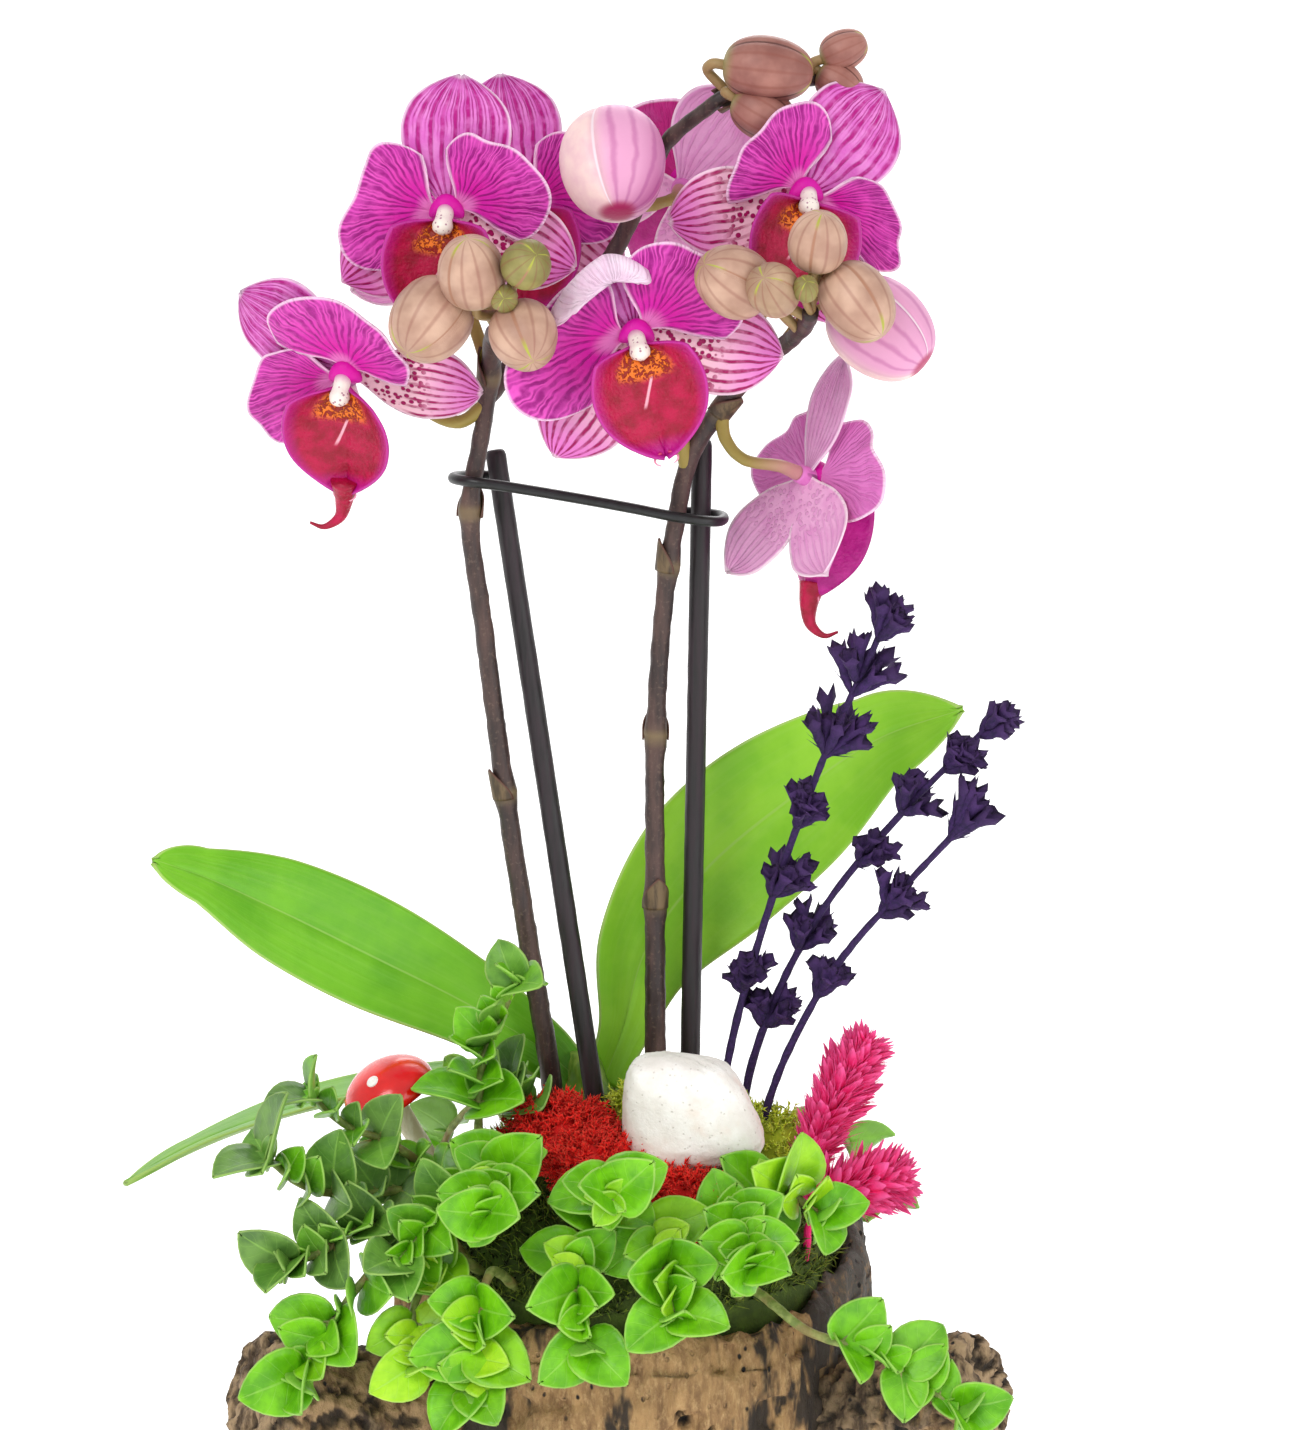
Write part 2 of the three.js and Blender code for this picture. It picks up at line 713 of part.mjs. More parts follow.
function planterStub({ root, end, radius }, seed) {
  const start = vec(root);
  const axis = vec(end).sub(start);
  const length = axis.length();
  const { right, up, forward } = lookAxes(axis);
  const sides = 10;
  const profile = [[0, 1.14], [0.6, 1.03], [0.94, 1], [1, 0.86]];
  const rings = profile.map(([share, part], k) => {
    const ring = [];
    for (let j = 0; j < sides; j += 1) {
      const angle = (2 * Math.PI * j) / sides;
      const furrow = 0.07 * (draw(seed + 3 * j) - 0.5);
      const dent = 0.04 * (draw(seed + 50 + 7 * j + k) - 0.5);
      const r = radius * part * (1 + furrow + dent);
      ring.push(start.clone()
        .addScaledVector(forward, share * length)
        .addScaledVector(right, r * Math.cos(angle))
        .addScaledVector(up, r * Math.sin(angle)));
    }
    return ring;
  });
  return loft(rings);
}

function planter() {
  const outer = [
    [0, 0], [43, 0, 'wall'], [46, 2, 'wall'], [50, 24, 'wall'],
    [POT_RADIUS, 58, 'wall'], [POT_RADIUS, 84, 'wall'],
    [50.5, -2, 'rim'], [48.2, 0.6, 'rim'], [CAVITY_RIM_RADIUS, -1.8, 'rim'],
    [CAVITY_FOOT_RADIUS, CAVITY_FLOOR, 'cavity'], [0, CAVITY_FLOOR],
  ];
  const shape = (r, z, angle, row) => {
    if (row === 'wall') return [barkRadius(r, z, angle), z];
    if (row === 'rim') return [r > CAVITY_RIM_RADIUS ? barkRadius(r, 90, angle) : r, rimHeight(angle) + z];
    return [r, z];
  };
  const body = turned(outer, POT_SIDES, shape);
  return Manifold.union([body, ...STUBS.map((stub, i) => planterStub(stub, 11 + 90 * i))]);
}

// Soil and moss

function soil() {
  return turned([
    [0, CAVITY_FLOOR + GAP],
    [CAVITY_FOOT_RADIUS - 0.7, CAVITY_FLOOR + GAP],
    [44.2, SOIL_TOP - 1],
    [0, SOIL_TOP],
  ], POT_SIDES);
}

function mossHeight(r) {
  return MOSS_FOOT + MOSS_RISE * Math.sqrt(1 - (r / MOSS_RADIUS) ** 2);
}

// The bed of moss; grow thickens its upper side.
function mossBed(grow = 0) {
  const top = [44, 40, 31, 17];
  const profile = [[0, SOIL_TOP + GAP], [44, SOIL_TOP + GAP]];
  for (const r of top) profile.push([r + grow, 0, 'top']);
  profile.push([0, mossHeight(0) + grow]);
  const shape = (r, z, angle, row) => {
    if (row !== 'top') return [r, z];
    const base = r - grow;
    const swell = base < 43 ? 0.9 * Math.sin(4 * angle + base) + 0.6 * Math.sin(7 * angle - base / 3) : 0;
    return [r, mossHeight(base) + swell + grow];
  };
  return turned(profile, POT_SIDES, shape);
}

function mossLumps(lumps, seed) {
  return Manifold.union(lumps.map(({ at, size }, i) => lump(at, size, 8, 4, 0.2, seed + 400 * i)));
}

// Orchid

function crown(grow = 0) {
  const { foot, top, radius } = CROWN;
  const profile = (share) => radius * (share < 0.7 ? 1 : 1 - 1.6 * (share - 0.7));
  return tube([foot, [-9, 8, 124], top], profile, 8, 5, grow);
}

function orchidLeaf({ line, widths, face, fold }) {
  const curve = routeCurve(line);
  const steps = 9;
  const rows = [];
  for (let k = 0; k <= steps; k += 1) {
    const share = k / steps;
    const middle = curve.getPoint(share);
    const along = curve.getTangent(share);
    const side = along.clone().cross(vec(face)).normalize();
    const up = side.clone().cross(along).normalize();
    const place = share * (widths.length - 1);
    const i = Math.min(Math.floor(place), widths.length - 2);
    const half = widths[i] + (widths[i + 1] - widths[i]) * (place - i);
    const row = [];
    for (const across of [-1, 0, 1]) {
      row.push(middle.clone()
        .addScaledVector(side, half * across)
        .addScaledVector(up, half * fold * (across * across) * (1.6 - share)));
    }
    rows.push(k === steps ? [middle] : row);
  }
  return blade(rows, LEAF_THICKNESS);
}

function jointedRadius(joints) {
  return (share, point) => {
    let r = SPIKE_RADIUS * (1.04 - 0.3 * share);
    for (const height of joints) r += 0.55 * Math.exp(-(((point.z - height) / 4) ** 2));
    return r;
  };
}

function bloomAxes({ at, facing }) {
  const azimuth = radians(facing[0]);
  const elevation = radians(facing[1]);
  const forward = new THREE.Vector3(
    Math.sin(azimuth) * Math.cos(elevation),
    -Math.cos(azimuth) * Math.cos(elevation),
    Math.sin(elevation),
  );
  return { origin: vec(at), ...lookAxes(forward) };
}

// A function that turns a bloom's own coordinates (right, up, forward) into the model's.
function bloomPlacer(bloom) {
  const { origin, right, up, forward } = bloomAxes(bloom);
  return (a, b, c) => origin.clone()
    .addScaledVector(right, a)
    .addScaledVector(up, b)
    .addScaledVector(forward, c);
}

// A sepal: an oval blade that leans back a little towards its tip.
function sepal(place, angle, length, width) {
  const rows = [];
  const outline = [[0.5, 1], [1, 0.5]];
  const turn = radians(angle);
  const point = (along, across, half) => {
    const u = length * along;
    const v = (width / 2) * half * across;
    const c = -1.1 - 2.2 * along * along - 0.9 * across * across * along;
    return place(u * Math.cos(turn) - v * Math.sin(turn), u * Math.sin(turn) + v * Math.cos(turn), c);
  };
  rows.push([point(0.03, 0, 0)]);
  for (const [along, half] of outline) rows.push([-1, 0, 1].map((across) => point(along, across, half)));
  return blade(rows, TEPAL_THICKNESS);
}

// A petal: a broad fan from a narrow claw, before the sepals. Half way out the fan is still
// narrower than at its edge.
function petal(place, { fan, reach }, size, before) {
  const [from, to] = fan.map(radians);
  const middle = (from + to) / 2;
  const claw = 0.8;
  const base = [claw * Math.cos(middle), claw * Math.sin(middle)];
  const rows = [[place(base[0], base[1], 0.5)]];
  for (const [along, opening] of [[0.5, 0.86], [1, 1]]) {
    rows.push(reach.map((edge, j) => {
      const off = ((to - from) / 2) * ((2 * j) / (reach.length - 1) - 1);
      const r = (size * edge - claw) * along;
      const a = base[0] + r * Math.cos(middle + opening * off);
      const b = base[1] + r * Math.sin(middle + opening * off);
      const wave = 1.5 * along * (1 - along) + 1.1 * along * along * Math.cos(1.7 * off);
      return place(a, b, 0.5 + before * Math.min(1, 2 * along) + wave + 0.35 * along * Math.sin(3 * off));
    }));
  }
  return blade(rows, TEPAL_THICKNESS);
}

function tepals(bloom) {
  const { size } = bloom;
  const place = bloomPlacer(bloom);
  const { dorsal, right, left } = bloom.angles;
  const [petalRight, petalLeft] = bloom.petals;
  const heart = tube([place(0, 0, -BLOOM_BACK), place(0, 0, 1.1)], 2.3, 4, 1);
  return Manifold.union([
    heart,
    sepal(place, dorsal, size * DORSAL_LENGTH, size * DORSAL_WIDTH),
    sepal(place, right, size * SEPAL_LENGTH, size * SEPAL_WIDTH),
    sepal(place, left, size * SEPAL_LENGTH, size * SEPAL_WIDTH),
    petal(place, petalRight, size, 0.9),
    petal(place, petalLeft, size, 0),
  ]);
}

// The lip: one cupped sheet whose side lobes rise beside the column and whose middle lobe runs to
// a point, with the column above it.
function lip(bloom) {
  const face = bloomPlacer(bloom);
  const turn = radians(bloom.angles.lip + 90);
  const [c, s] = [Math.cos(turn), Math.sin(turn)];
  const place = (a, b, forward) => face(a * c - b * s, a * s + b * c, forward);
  const columnLine = [place(0, 0.6, 1.5), place(0, 0.2, 4.5), place(0, -1.2, 7)];
  const column = tube(columnLine, (share) => 1.7 + 0.35 * share, 5, 2);
  const rows = [];
  for (const [along, half] of [[0, 2.8], [0.2, 9.4], [0.46, 12.2], [0.76, 10]]) {
    const row = [];
    for (const across of [-1, -0.5, 0, 0.5, 1]) {
      const lobe = across * across * (1 - along);
      const rise = lobe * Math.min(1, 4 * along);
      const a = half * across * (1 - 0.12 * lobe);
      const b = -0.6 - 21.5 * along + 6.5 * rise;
      const forward = 2.6 + 10.5 * along - 5 * along * along + 5.6 * rise + 1.6 * across * across;
      row.push(place(a, b, forward));
    }
    rows.push(row);
  }
  rows.push([place(0, -23.4, 9.6)]);
  return Manifold.union([column, blade(rows, 0.8)]);
}

// Where the stalk of a bloom or of an opening bud ends, just behind it, and the way it comes in.
function stalkEnd(stalk) {
  if (stalk.bloom) {
    const bloom = BLOOMS.find(({ name }) => name === stalk.bloom);
    const place = bloomPlacer(bloom);
    return [place(0, 0, -BLOOM_BACK - 5), place(0, 0, -BLOOM_BACK - GAP)];
  }
  const opening = OPENING_BUDS.find(({ name }) => name === stalk.bud);
  const axis = vec(opening.tip).normalize();
  const end = opening.length / 2 + GAP;
  return [vec(opening.at).addScaledVector(axis, -end - 4), vec(opening.at).addScaledVector(axis, -end)];
}

// A closed bud and its thin stalk in one piece.
function stalkedBud({ at, tip, size, from, loop }) {
  const axis = vec(tip).normalize();
  const base = vec(at).addScaledVector(axis, -size[0] / 2);
  const end = vec(at).addScaledVector(axis, size[0] / 2);
  const route = [vec(from), base.clone().addScaledVector(axis, -2), base, vec(at), end];
  if (loop) route.splice(1, 0, vec(from).lerp(base, 0.5).add(new THREE.Vector3(-4, 0, 2)));
  const length = routeCurve(route).getLength();
  const stalk = 1 - size[0] / length;
  const budShares = [0, 0.2, 0.5, 0.8, 1].map((part) => stalk + (1 - stalk) * part);
  const radius = (share) => {
    const part = (share - stalk) / (1 - stalk);
    const thin = Math.min(1.1, size[1] / 7);
    if (part < 1e-6) return thin;
    return part > 0.999 ? 0 : Math.max(thin, (size[1] / 2) * Math.sin(Math.PI * part) ** 0.75);
  };
  return tube(route, radius, 6, loop ? [0, stalk * 0.4, stalk * 0.75, ...budShares] : [0, ...budShares]);
}

function spike(plan) {
  const pieces = [tube(plan.stem, jointedRadius(plan.joints), 6, STEM_STEPS)];
  if (plan.branch) {
    pieces.push(tube(plan.branch, (share) => SPIKE_RADIUS * (0.9 - 0.3 * share), 5, 9));
  }
  for (const stalk of plan.stalks) {
    const route = [stalk.from, ...stalk.via].map(vec);
    pieces.push(tube([...route, ...stalkEnd(stalk)], PEDICEL_RADIUS, 4, 4));
  }
  for (const budPlan of plan.buds) pieces.push(stalkedBud(budPlan));
  return Manifold.union(pieces);
}

function openingBud({ at, tip, length, width }) {
  return bud(at, tip, length, width, 12, 6);
}

// Stakes and clip

function stake({ foot, top }, grow = 0) {
  const axis = vec(top).sub(vec(foot)).normalize();
  const start = vec(foot).addScaledVector(axis, -grow);
  const end = vec(top).addScaledVector(axis, grow);
  const path = new THREE.LineCurve3(start, end);
  const section = new THREE.Shape();
  const sides = 8;
  for (let j = 0; j < sides; j += 1) {
    const angle = (2 * Math.PI * j) / sides;
    const r = STAKE_RADIUS + grow;
    const [x, y] = [r * Math.cos(angle), r * Math.sin(angle)];
    if (j === 0) section.moveTo(x, y);
    else section.lineTo(x, y);
  }
  return solid(new THREE.ExtrudeGeometry(section, { steps: 1, extrudePath: path, bevelEnabled: false }));
}

function clip() {
  return tube(CLIP_ROUTE, CLIP_WIRE_RADIUS, 4, 24);
}

// Dried flowers

// A whorl of florets round a stem: a ball whose rim runs out in points that lean forward.
function whorl(middle, along, florets, seed, closed) {
  const { right, up } = lookAxes(along);
  const size = 0.72 + 0.42 * draw(seed + 7);
  const at = (height, r, angle) => middle.clone()
    .addScaledVector(along, height)
    .addScaledVector(right, r * Math.cos(angle))
    .addScaledVector(up, r * Math.sin(angle));
  const rim = [];
  for (let j = 0; j < 2 * florets; j += 1) {
    const angle = (Math.PI * j) / florets + 0.3 * (draw(seed + j) - 0.5);
    const reach = FLORET_LENGTH * size * (0.8 + 0.3 * draw(seed + 40 + j)) * (closed ? 0.7 : 1);
    const lift = 2.4 + (closed ? 3.5 : 1.8) * draw(seed + 80 + j);
    rim.push(j % 2 === 0 ? at(lift, reach, angle) : at(0.4, 2.5, angle));
  }
  return loft([[at(-4.4, 0, 0)], rim, [at(closed ? 6.5 : 4.2, 0, 0)]]);
}

function lavender({ name, route }, index) {
  const curve = routeCurve(route);
  const pieces = [tube(route, LAVENDER_STEM_RADIUS, 4, 5)];
  WHORLS[name].forEach((share, w) => {
    const seed = 700 + 200 * index + 31 * w;
    const [middle, along] = [curve.getPointAt(share), curve.getTangentAt(share)];
    pieces.push(whorl(middle, along, FLORETS_PER_WHORL, seed, share === 1));
  });
  return Manifold.union(pieces);
}

// A grass head: a stalk, then a spindle whose rings run out in pointed bracts by turns.
function grassHead({ route, width }, index) {
  const curve = routeCurve(route);
  const sides = 12;
  const rows = 10;
  const rings = [];
  for (const share of [0, 0.3]) {
    const middle = curve.getPointAt(share);
    const { right, up } = lookAxes(curve.getTangentAt(share));
    rings.push(Array.from({ length: sides }, (unused, j) => {
      const angle = (2 * Math.PI * j) / sides;
      return middle.clone().addScaledVector(right, Math.cos(angle)).addScaledVector(up, Math.sin(angle));
    }));
  }
  for (let i = 0; i < rows; i += 1) {
    const part = i / (rows - 1);
    const share = 0.36 + 0.58 * part;
    const middle = curve.getPointAt(share);
    const along = curve.getTangentAt(share);
    const { right, up } = lookAxes(along);
    const core = (width / 2) * 0.55 * Math.sin(Math.PI * (0.22 + 0.7 * part)) ** 0.7;
    rings.push(Array.from({ length: sides }, (unused, j) => {
      const angle = (2 * Math.PI * j) / sides;
      const bract = (j + i) % 2 === 0 ? 0.8 + 0.5 * draw(1500 + 300 * index + 17 * i + j) : 0;
      const r = core + bract * (width / 2) * 0.5;
      return middle.clone()
        .addScaledVector(along, 2.4 * bract)
        .addScaledVector(right, r * Math.cos(angle))
        .addScaledVector(up, r * Math.sin(angle));
    }));
  }
  rings.push([curve.getPointAt(1)]);
  return loft(rings);
}

// Pebble and mushroom

function pebble(grow = 0) {
  const { at, size } = PEBBLE;
  const rings = [];
  const ringCount = 6;
  const sides = 10;
  for (let k = 0; k <= ringCount; k += 1) {
    const polar = (Math.PI * k) / ringCount;
    const pole = k === 0 || k === ringCount;
    const ring = [];
    for (let j = 0; j < (pole ? 1 : sides); j += 1) {
      const angle = (2 * Math.PI * j) / sides;
      const round = (v) => Math.sign(v) * Math.abs(v) ** 0.72;
      const x = round(Math.sin(polar)) * round(Math.cos(angle));
      const y = round(Math.sin(polar)) * round(Math.sin(angle));
      const z = round(Math.cos(polar));
      const narrow = 1 - 0.16 * z - 0.1 * x * z;
      ring.push(new THREE.Vector3(
        at[0] + (size[0] / 2 + grow) * x * narrow - 1.2 * z,
        at[1] + (size[1] / 2 + grow) * y * narrow,
        at[2] + (size[2] / 2 + grow) * z * (1 - 0.1 * x),
      ));
    }
    rings.push(ring);
  }
  return loft(rings);
}

function mushroomStem() {
  return tube([MUSHROOM.foot, MUSHROOM.bend, MUSHROOM.neck], MUSHROOM.stemRadius, 8, 4);
}

function mushroomCap() {
  const neck = vec(MUSHROOM.neck);
  const axis = neck.clone().sub(vec(MUSHROOM.foot)).normalize();
  const { right, up } = lookAxes(axis);
  const sides = 12;
  const profile = [
    [GAP, 0], [GAP, 0.5], [-1.4, 0.82], [-1.6, 1], [0.8, 1.03], [4, 0.9], [7, 0.6], [8.6, 0.3],
    [MUSHROOM.capHeight, 0],
  ];
  const rings = profile.map(([height, share]) => {
    const middle = neck.clone().addScaledVector(axis, height);
    if (share === 0) return [middle];
    const ring = [];
    for (let j = 0; j < sides; j += 1) {
      const angle = (2 * Math.PI * j) / sides;
      const r = MUSHROOM.capRadius * share;
      ring.push(middle.clone()
        .addScaledVector(right, r * Math.cos(angle))
        .addScaledVector(up, r * Math.sin(angle)));
    }
    return ring;
  });
  return loft(rings);
}

// Creeper

// A creeper leaf: a cupped heart from its stalk at foot, along axis, with its face to normal.
function creeperLeaf(foot, axis, normal, length, grow = 0) {
  const along = axis.clone().normalize();
  const side = along.clone().cross(normal).normalize();
  const up = side.clone().cross(along);
  const half = length * 0.42;
  const point = (share, across, width) => foot.clone()
    .addScaledVector(along, length * share)
    .addScaledVector(side, width * across)
    .addScaledVector(up, length * (0.16 * share - 0.26 * share * share) + 0.3 * width * across * across);
  const rows = [
    [point(0 - grow / length, 0, 0)],
    [-1, 1].map((across) => point(0.3, across, half * 0.96 + grow)),
    [-1, 1].map((across) => point(0.62, across, half * 0.86 + grow)),
    [point(1 + grow / length, 0, 0)],
  ];
  return blade(rows, CREEPER_THICKNESS + 2 * grow);
}

// The pairs of leaves of one creeper stem: where each leaf stands and where it points. The leaves
// of a pair lie on both sides of the stem and turn their faces outwards and up.
function creeperLeaves(plan, index) {
  const curve = routeCurve(plan.route);
  const leaves = [];
  for (let i = 0; i < plan.pairs; i += 1) {
    const part = i / (plan.pairs - 1);
    const share = plan.start + (1 - plan.start) * part;
    const foot = curve.getPointAt(share);
    const along = curve.getTangentAt(share);
    const sky = new THREE.Vector3(foot.x / 70, foot.y / 25, 0).normalize().multiplyScalar(0.8);
    sky.z = 0.6;
    const side = along.clone().cross(sky).normalize();
    const front = side.clone().cross(along);
    const size = plan.leaf[0] + (plan.leaf[1] - plan.leaf[0]) * part;
    for (let k = 0; k < 2; k += 1) {
      const seed = 3000 + 100 * index + 10 * i + k;
      const tilt = (i % 2 === 0 ? 0.2 : 0.6) + 0.35 * draw(seed);
      const angle = k === 0 ? tilt : Math.PI - tilt;
      const length = size * (0.84 + 0.32 * draw(seed + 5));
      const open = (part === 1 ? 0.7 : 1.05) + 0.4 * draw(seed + 7);
      const roll = 0.9 * (draw(seed + 8) - 0.5);
      leaves.push({ foot, along, side, front, sky, angle, open, roll, length });
    }
  }
  return leaves;
}

// A leaf of a pair, turned round its stem and lifted along it by the given degrees.
function placedLeaf(leaf, turn, lift, grow = 0) {
  const { foot, along, side, front, sky, angle, open, roll, length } = leaf;
  const round = angle + radians(turn);
  const out = side.clone().multiplyScalar(Math.cos(round)).addScaledVector(front, Math.sin(round));
  const spread = open - radians(lift);
  const axis = along.clone().multiplyScalar(Math.cos(spread)).addScaledVector(out, Math.sin(spread));
  const back = along.clone().multiplyScalar(Math.sin(spread)).addScaledVector(out, -Math.cos(spread));
  const normal = sky.clone()
    .addScaledVector(axis, -sky.dot(axis))
    .addScaledVector(back, 0.3)
    .addScaledVector(axis.clone().cross(sky).normalize(), roll)
    .normalize();
  return creeperLeaf(foot.clone(), axis, normal, length, grow);
}

function creeperStem({ route }, grow = 0) {
  return tube(route, (share) => CREEPER_STEM_RADIUS * (1.15 - 0.3 * share), 3, 4, grow);
}

// The plain straight hole that a thin stem's root stands in.
function rootHole([root, next], radius, sides) {
  const past = vec(next).lerp(vec(root), -0.15);
  return tube([vec(root), past], radius, sides, 1, GAP);
}

function boxesMeet(a, b) {
  const [p, q] = [a.boundingBox(), b.boundingBox()];
  return [0, 1, 2].every((i) => p.min[i] <= q.max[i] && q.min[i] <= p.max[i]);
}

function clears(body, others) {
  return others.every((other) => !boxesMeet(body, other) || body.intersect(other).volume() < 1e-6);
}

// A creeper stem with its leaves. A leaf that would touch another piece is turned or lifted clear,
// and left off if it finds no place.
function creeper(plan, index, others) {
  const pieces = [creeperStem(plan)];
  for (const leaf of creeperLeaves(plan, index)) {
    let placed = null;
    for (const lift of LEAF_LIFTS) {
      for (const turn of LEAF_TURNS) {
        if (!placed && clears(placedLeaf(leaf, turn, lift, GAP), others)) {
          placed = placedLeaf(leaf, turn, lift);
        }
      }
    }
    if (placed) pieces.push(placed);
  }
  return Manifold.union(pieces);
}

// The whole plant

const group = new THREE.Group();

function add(name, body, color, roughness = 0.6, metalness = 0) {
  const whole = largest(body);
  const { vertProperties, triVerts } = whole.getMesh();
  const geometry = new THREE.BufferGeometry();
  geometry.setAttribute('position', new THREE.BufferAttribute(new Float32Array(vertProperties), 3));
  geometry.setIndex(new THREE.BufferAttribute(new Uint32Array(triVerts), 1));
  geometry.computeVertexNormals();
  const mesh = new THREE.Mesh(geometry, new THREE.MeshStandardMaterial({ color, roughness, metalness }));
  mesh.name = name;
  group.add(mesh);
  return whole;
}

const stakeRoots = Object.values(STAKES).map((plan) => stake(plan, GAP));
const spikeRoots = SPIKES.map(({ stem }) => rootHole(stem, 1.2 * SPIKE_RADIUS, 6));
const dryRoots = [
  ...LAVENDER.map(({ route }) => rootHole(route, 2 * LAVENDER_STEM_RADIUS, 4)),
  ...GRASS_HEADS.map(({ route }) => rootHole(route, 2, 4)),
];
const mushroomRoot = rootHole([MUSHROOM.foot, MUSHROOM.bend], 1.2 * MUSHROOM.stemRadius, 6);
const allRoots = Manifold.union([...stakeRoots, ...spikeRoots, crown(GAP), ...dryRoots, mushroomRoot]);
const headRoom = Manifold.union(GRASS_HEADS.map(({ route, width }) => tube(route, 0.7 * width, 6, 4)));
const creeperRoots = Manifold.union(CREEPERS.map(({ route }) => rootHole(route, 2 * CREEPER_STEM_RADIUS, 3)));

const fixed = [];
fixed.push(add('planter', planter(), 0x8a6a4a, 0.85));
fixed.push(add('soil', soil().subtract(allRoots), 0x2e241c, 1));
add('moss_bed', mossBed().subtract(allRoots).subtract(creeperRoots).subtract(pebble(GAP)), 0x2c3a16, 1);
fixed.push(mossBed());

const mossTop = mossBed(GAP);
const redMoss = mossLumps(RED_MOSS, 5000).subtract(mossTop).subtract(allRoots).subtract(pebble(GAP));
fixed.push(add('moss_red', redMoss.subtract(creeperRoots), 0xc01010, 0.9));
const limeMoss = mossLumps(LIME_MOSS, 6000).subtract(mossTop).subtract(allRoots).subtract(pebble(GAP));
fixed.push(add('moss_lime', limeMoss.subtract(headRoom), 0xa8b820, 0.9));
fixed.push(add('pebble', pebble(), 0xe9e2d8, 0.7));
fixed.push(add('mushroom_stem', mushroomStem(), 0xe8e0cc, 0.5));
fixed.push(add('mushroom_cap', mushroomCap(), 0xd01010, 0.25));

fixed.push(add('stake_left', stake(STAKES.left), 0x1c1418, 0.5));
fixed.push(add('stake_right', stake(STAKES.right), 0x1c1418, 0.5));
fixed.push(add('clip', clip(), 0x101010, 0.4));
fixed.push(add('orchid_crown', crown(), 0x6fa52a, 0.5));
for (const plan of LEAVES) {
  fixed.push(add(plan.name, orchidLeaf(plan).subtract(crown(GAP)), 0x5fa62c, 0.45));
}
for (const plan of SPIKES) fixed.push(add(plan.name, spike(plan), 0x3a2a22, 0.6));
for (const plan of OPENING_BUDS) fixed.push(add(plan.name, openingBud(plan), 0xe3a8c4, 0.5));
for (const bloom of BLOOMS) {
  fixed.push(add(`tepals_${bloom.name}`, tepals(bloom), 0xcf3fb4, 0.5));
  fixed.push(add(`lip_${bloom.name}`, lip(bloom), 0xa80a52, 0.4));
}
LAVENDER.forEach((plan, i) => fixed.push(add(plan.name, lavender(plan, i), 0x2e1848, 0.8)));
GRASS_HEADS.forEach((plan, i) => fixed.push(add(plan.name, grassHead(plan, i), 0xe0145c, 0.8)));
CREEPERS.forEach((plan, i) => {
  const later = CREEPERS.slice(i + 1).map((other) => creeperStem(other, GAP));
  fixed.push(add(plan.name, creeper(plan, i, [...fixed, ...later]), 0x3f9a1e, 0.4));
});

export default group;
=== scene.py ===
"""A moth orchid planted with creeper, dyed moss and dried flowers in a driftwood planter.

Shapes are worked out in millimetres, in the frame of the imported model, and written in metres.
"""

import math

import bpy
import numpy as np
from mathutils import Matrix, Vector
from mathutils.bvhtree import BVHTree


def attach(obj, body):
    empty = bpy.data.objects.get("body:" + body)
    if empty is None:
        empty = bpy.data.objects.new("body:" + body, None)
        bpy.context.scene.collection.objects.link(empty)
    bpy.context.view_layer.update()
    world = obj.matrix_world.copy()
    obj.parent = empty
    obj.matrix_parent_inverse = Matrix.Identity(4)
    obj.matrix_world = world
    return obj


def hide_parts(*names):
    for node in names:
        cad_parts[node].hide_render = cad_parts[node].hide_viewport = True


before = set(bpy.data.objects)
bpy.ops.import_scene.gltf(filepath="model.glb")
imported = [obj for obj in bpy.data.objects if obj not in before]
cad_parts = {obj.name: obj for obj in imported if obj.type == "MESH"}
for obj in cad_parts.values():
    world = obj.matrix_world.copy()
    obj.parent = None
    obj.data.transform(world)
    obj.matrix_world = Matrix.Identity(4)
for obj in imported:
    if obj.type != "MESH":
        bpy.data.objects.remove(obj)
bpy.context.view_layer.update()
MM = 0.001
TURN = 2 * math.pi


# Numbers and vectors


def vec(p):
    return np.array(p, float)


def unit(v):
    v = np.asarray(v, float)
    return v / np.maximum(np.linalg.norm(v, axis=-1, keepdims=True), 1e-12)


def draw(seed):
    """A repeatable draw from 0 to 1."""
    s = math.sin(seed * 12.9898 + 4.1414) * 43758.5453
    return s - math.floor(s)


def smooth(x, low, high):
    t = np.clip((np.asarray(x, float) - low) / (high - low), 0, 1)
    return t * t * (3 - 2 * t)


def eased(x, table):
    """The value at x of a smooth line through the table's (x, value) pairs."""
    xs, ys = (np.array(c, float) for c in zip(*table))
    slopes = np.gradient(ys, xs)
    x = np.clip(np.asarray(x, float), xs[0], xs[-1])
    i = np.clip(np.searchsorted(xs, x, side="right") - 1, 0, len(xs) - 2)
    step = xs[i + 1] - xs[i]
    t = (x - xs[i]) / step
    start = (2 * t**3 - 3 * t**2 + 1) * ys[i] + (t**3 - 2 * t**2 + t) * step * slopes[i]
    return start + (3 * t**2 - 2 * t**3) * ys[i + 1] + (t**3 - t**2) * step * slopes[i + 1]


def bell(x, width):
    return np.exp(-((x / width) ** 2))


def turns(count):
    """Even angles, once round."""
    return TURN * np.arange(count) / count


def spokes(right, up, angle):
    """Ways out from an axis, at each angle."""
    return right * np.cos(angle)[..., None] + up * np.sin(angle)[..., None]


def hoop(angle, r, z):
    """Points round the upright axis."""
    return np.stack([r * np.cos(angle), r * np.sin(angle), z + 0 * angle], -1)


def look_axes(forward):
    """Right, up and forward of a piece that looks along forward."""
    f = unit(forward)
    right = np.cross([0, 0, 1], f)
    if right @ right < 1e-6:
        right = vec([1, 0, 0])
    right = unit(right)
    return right, np.cross(f, right), f


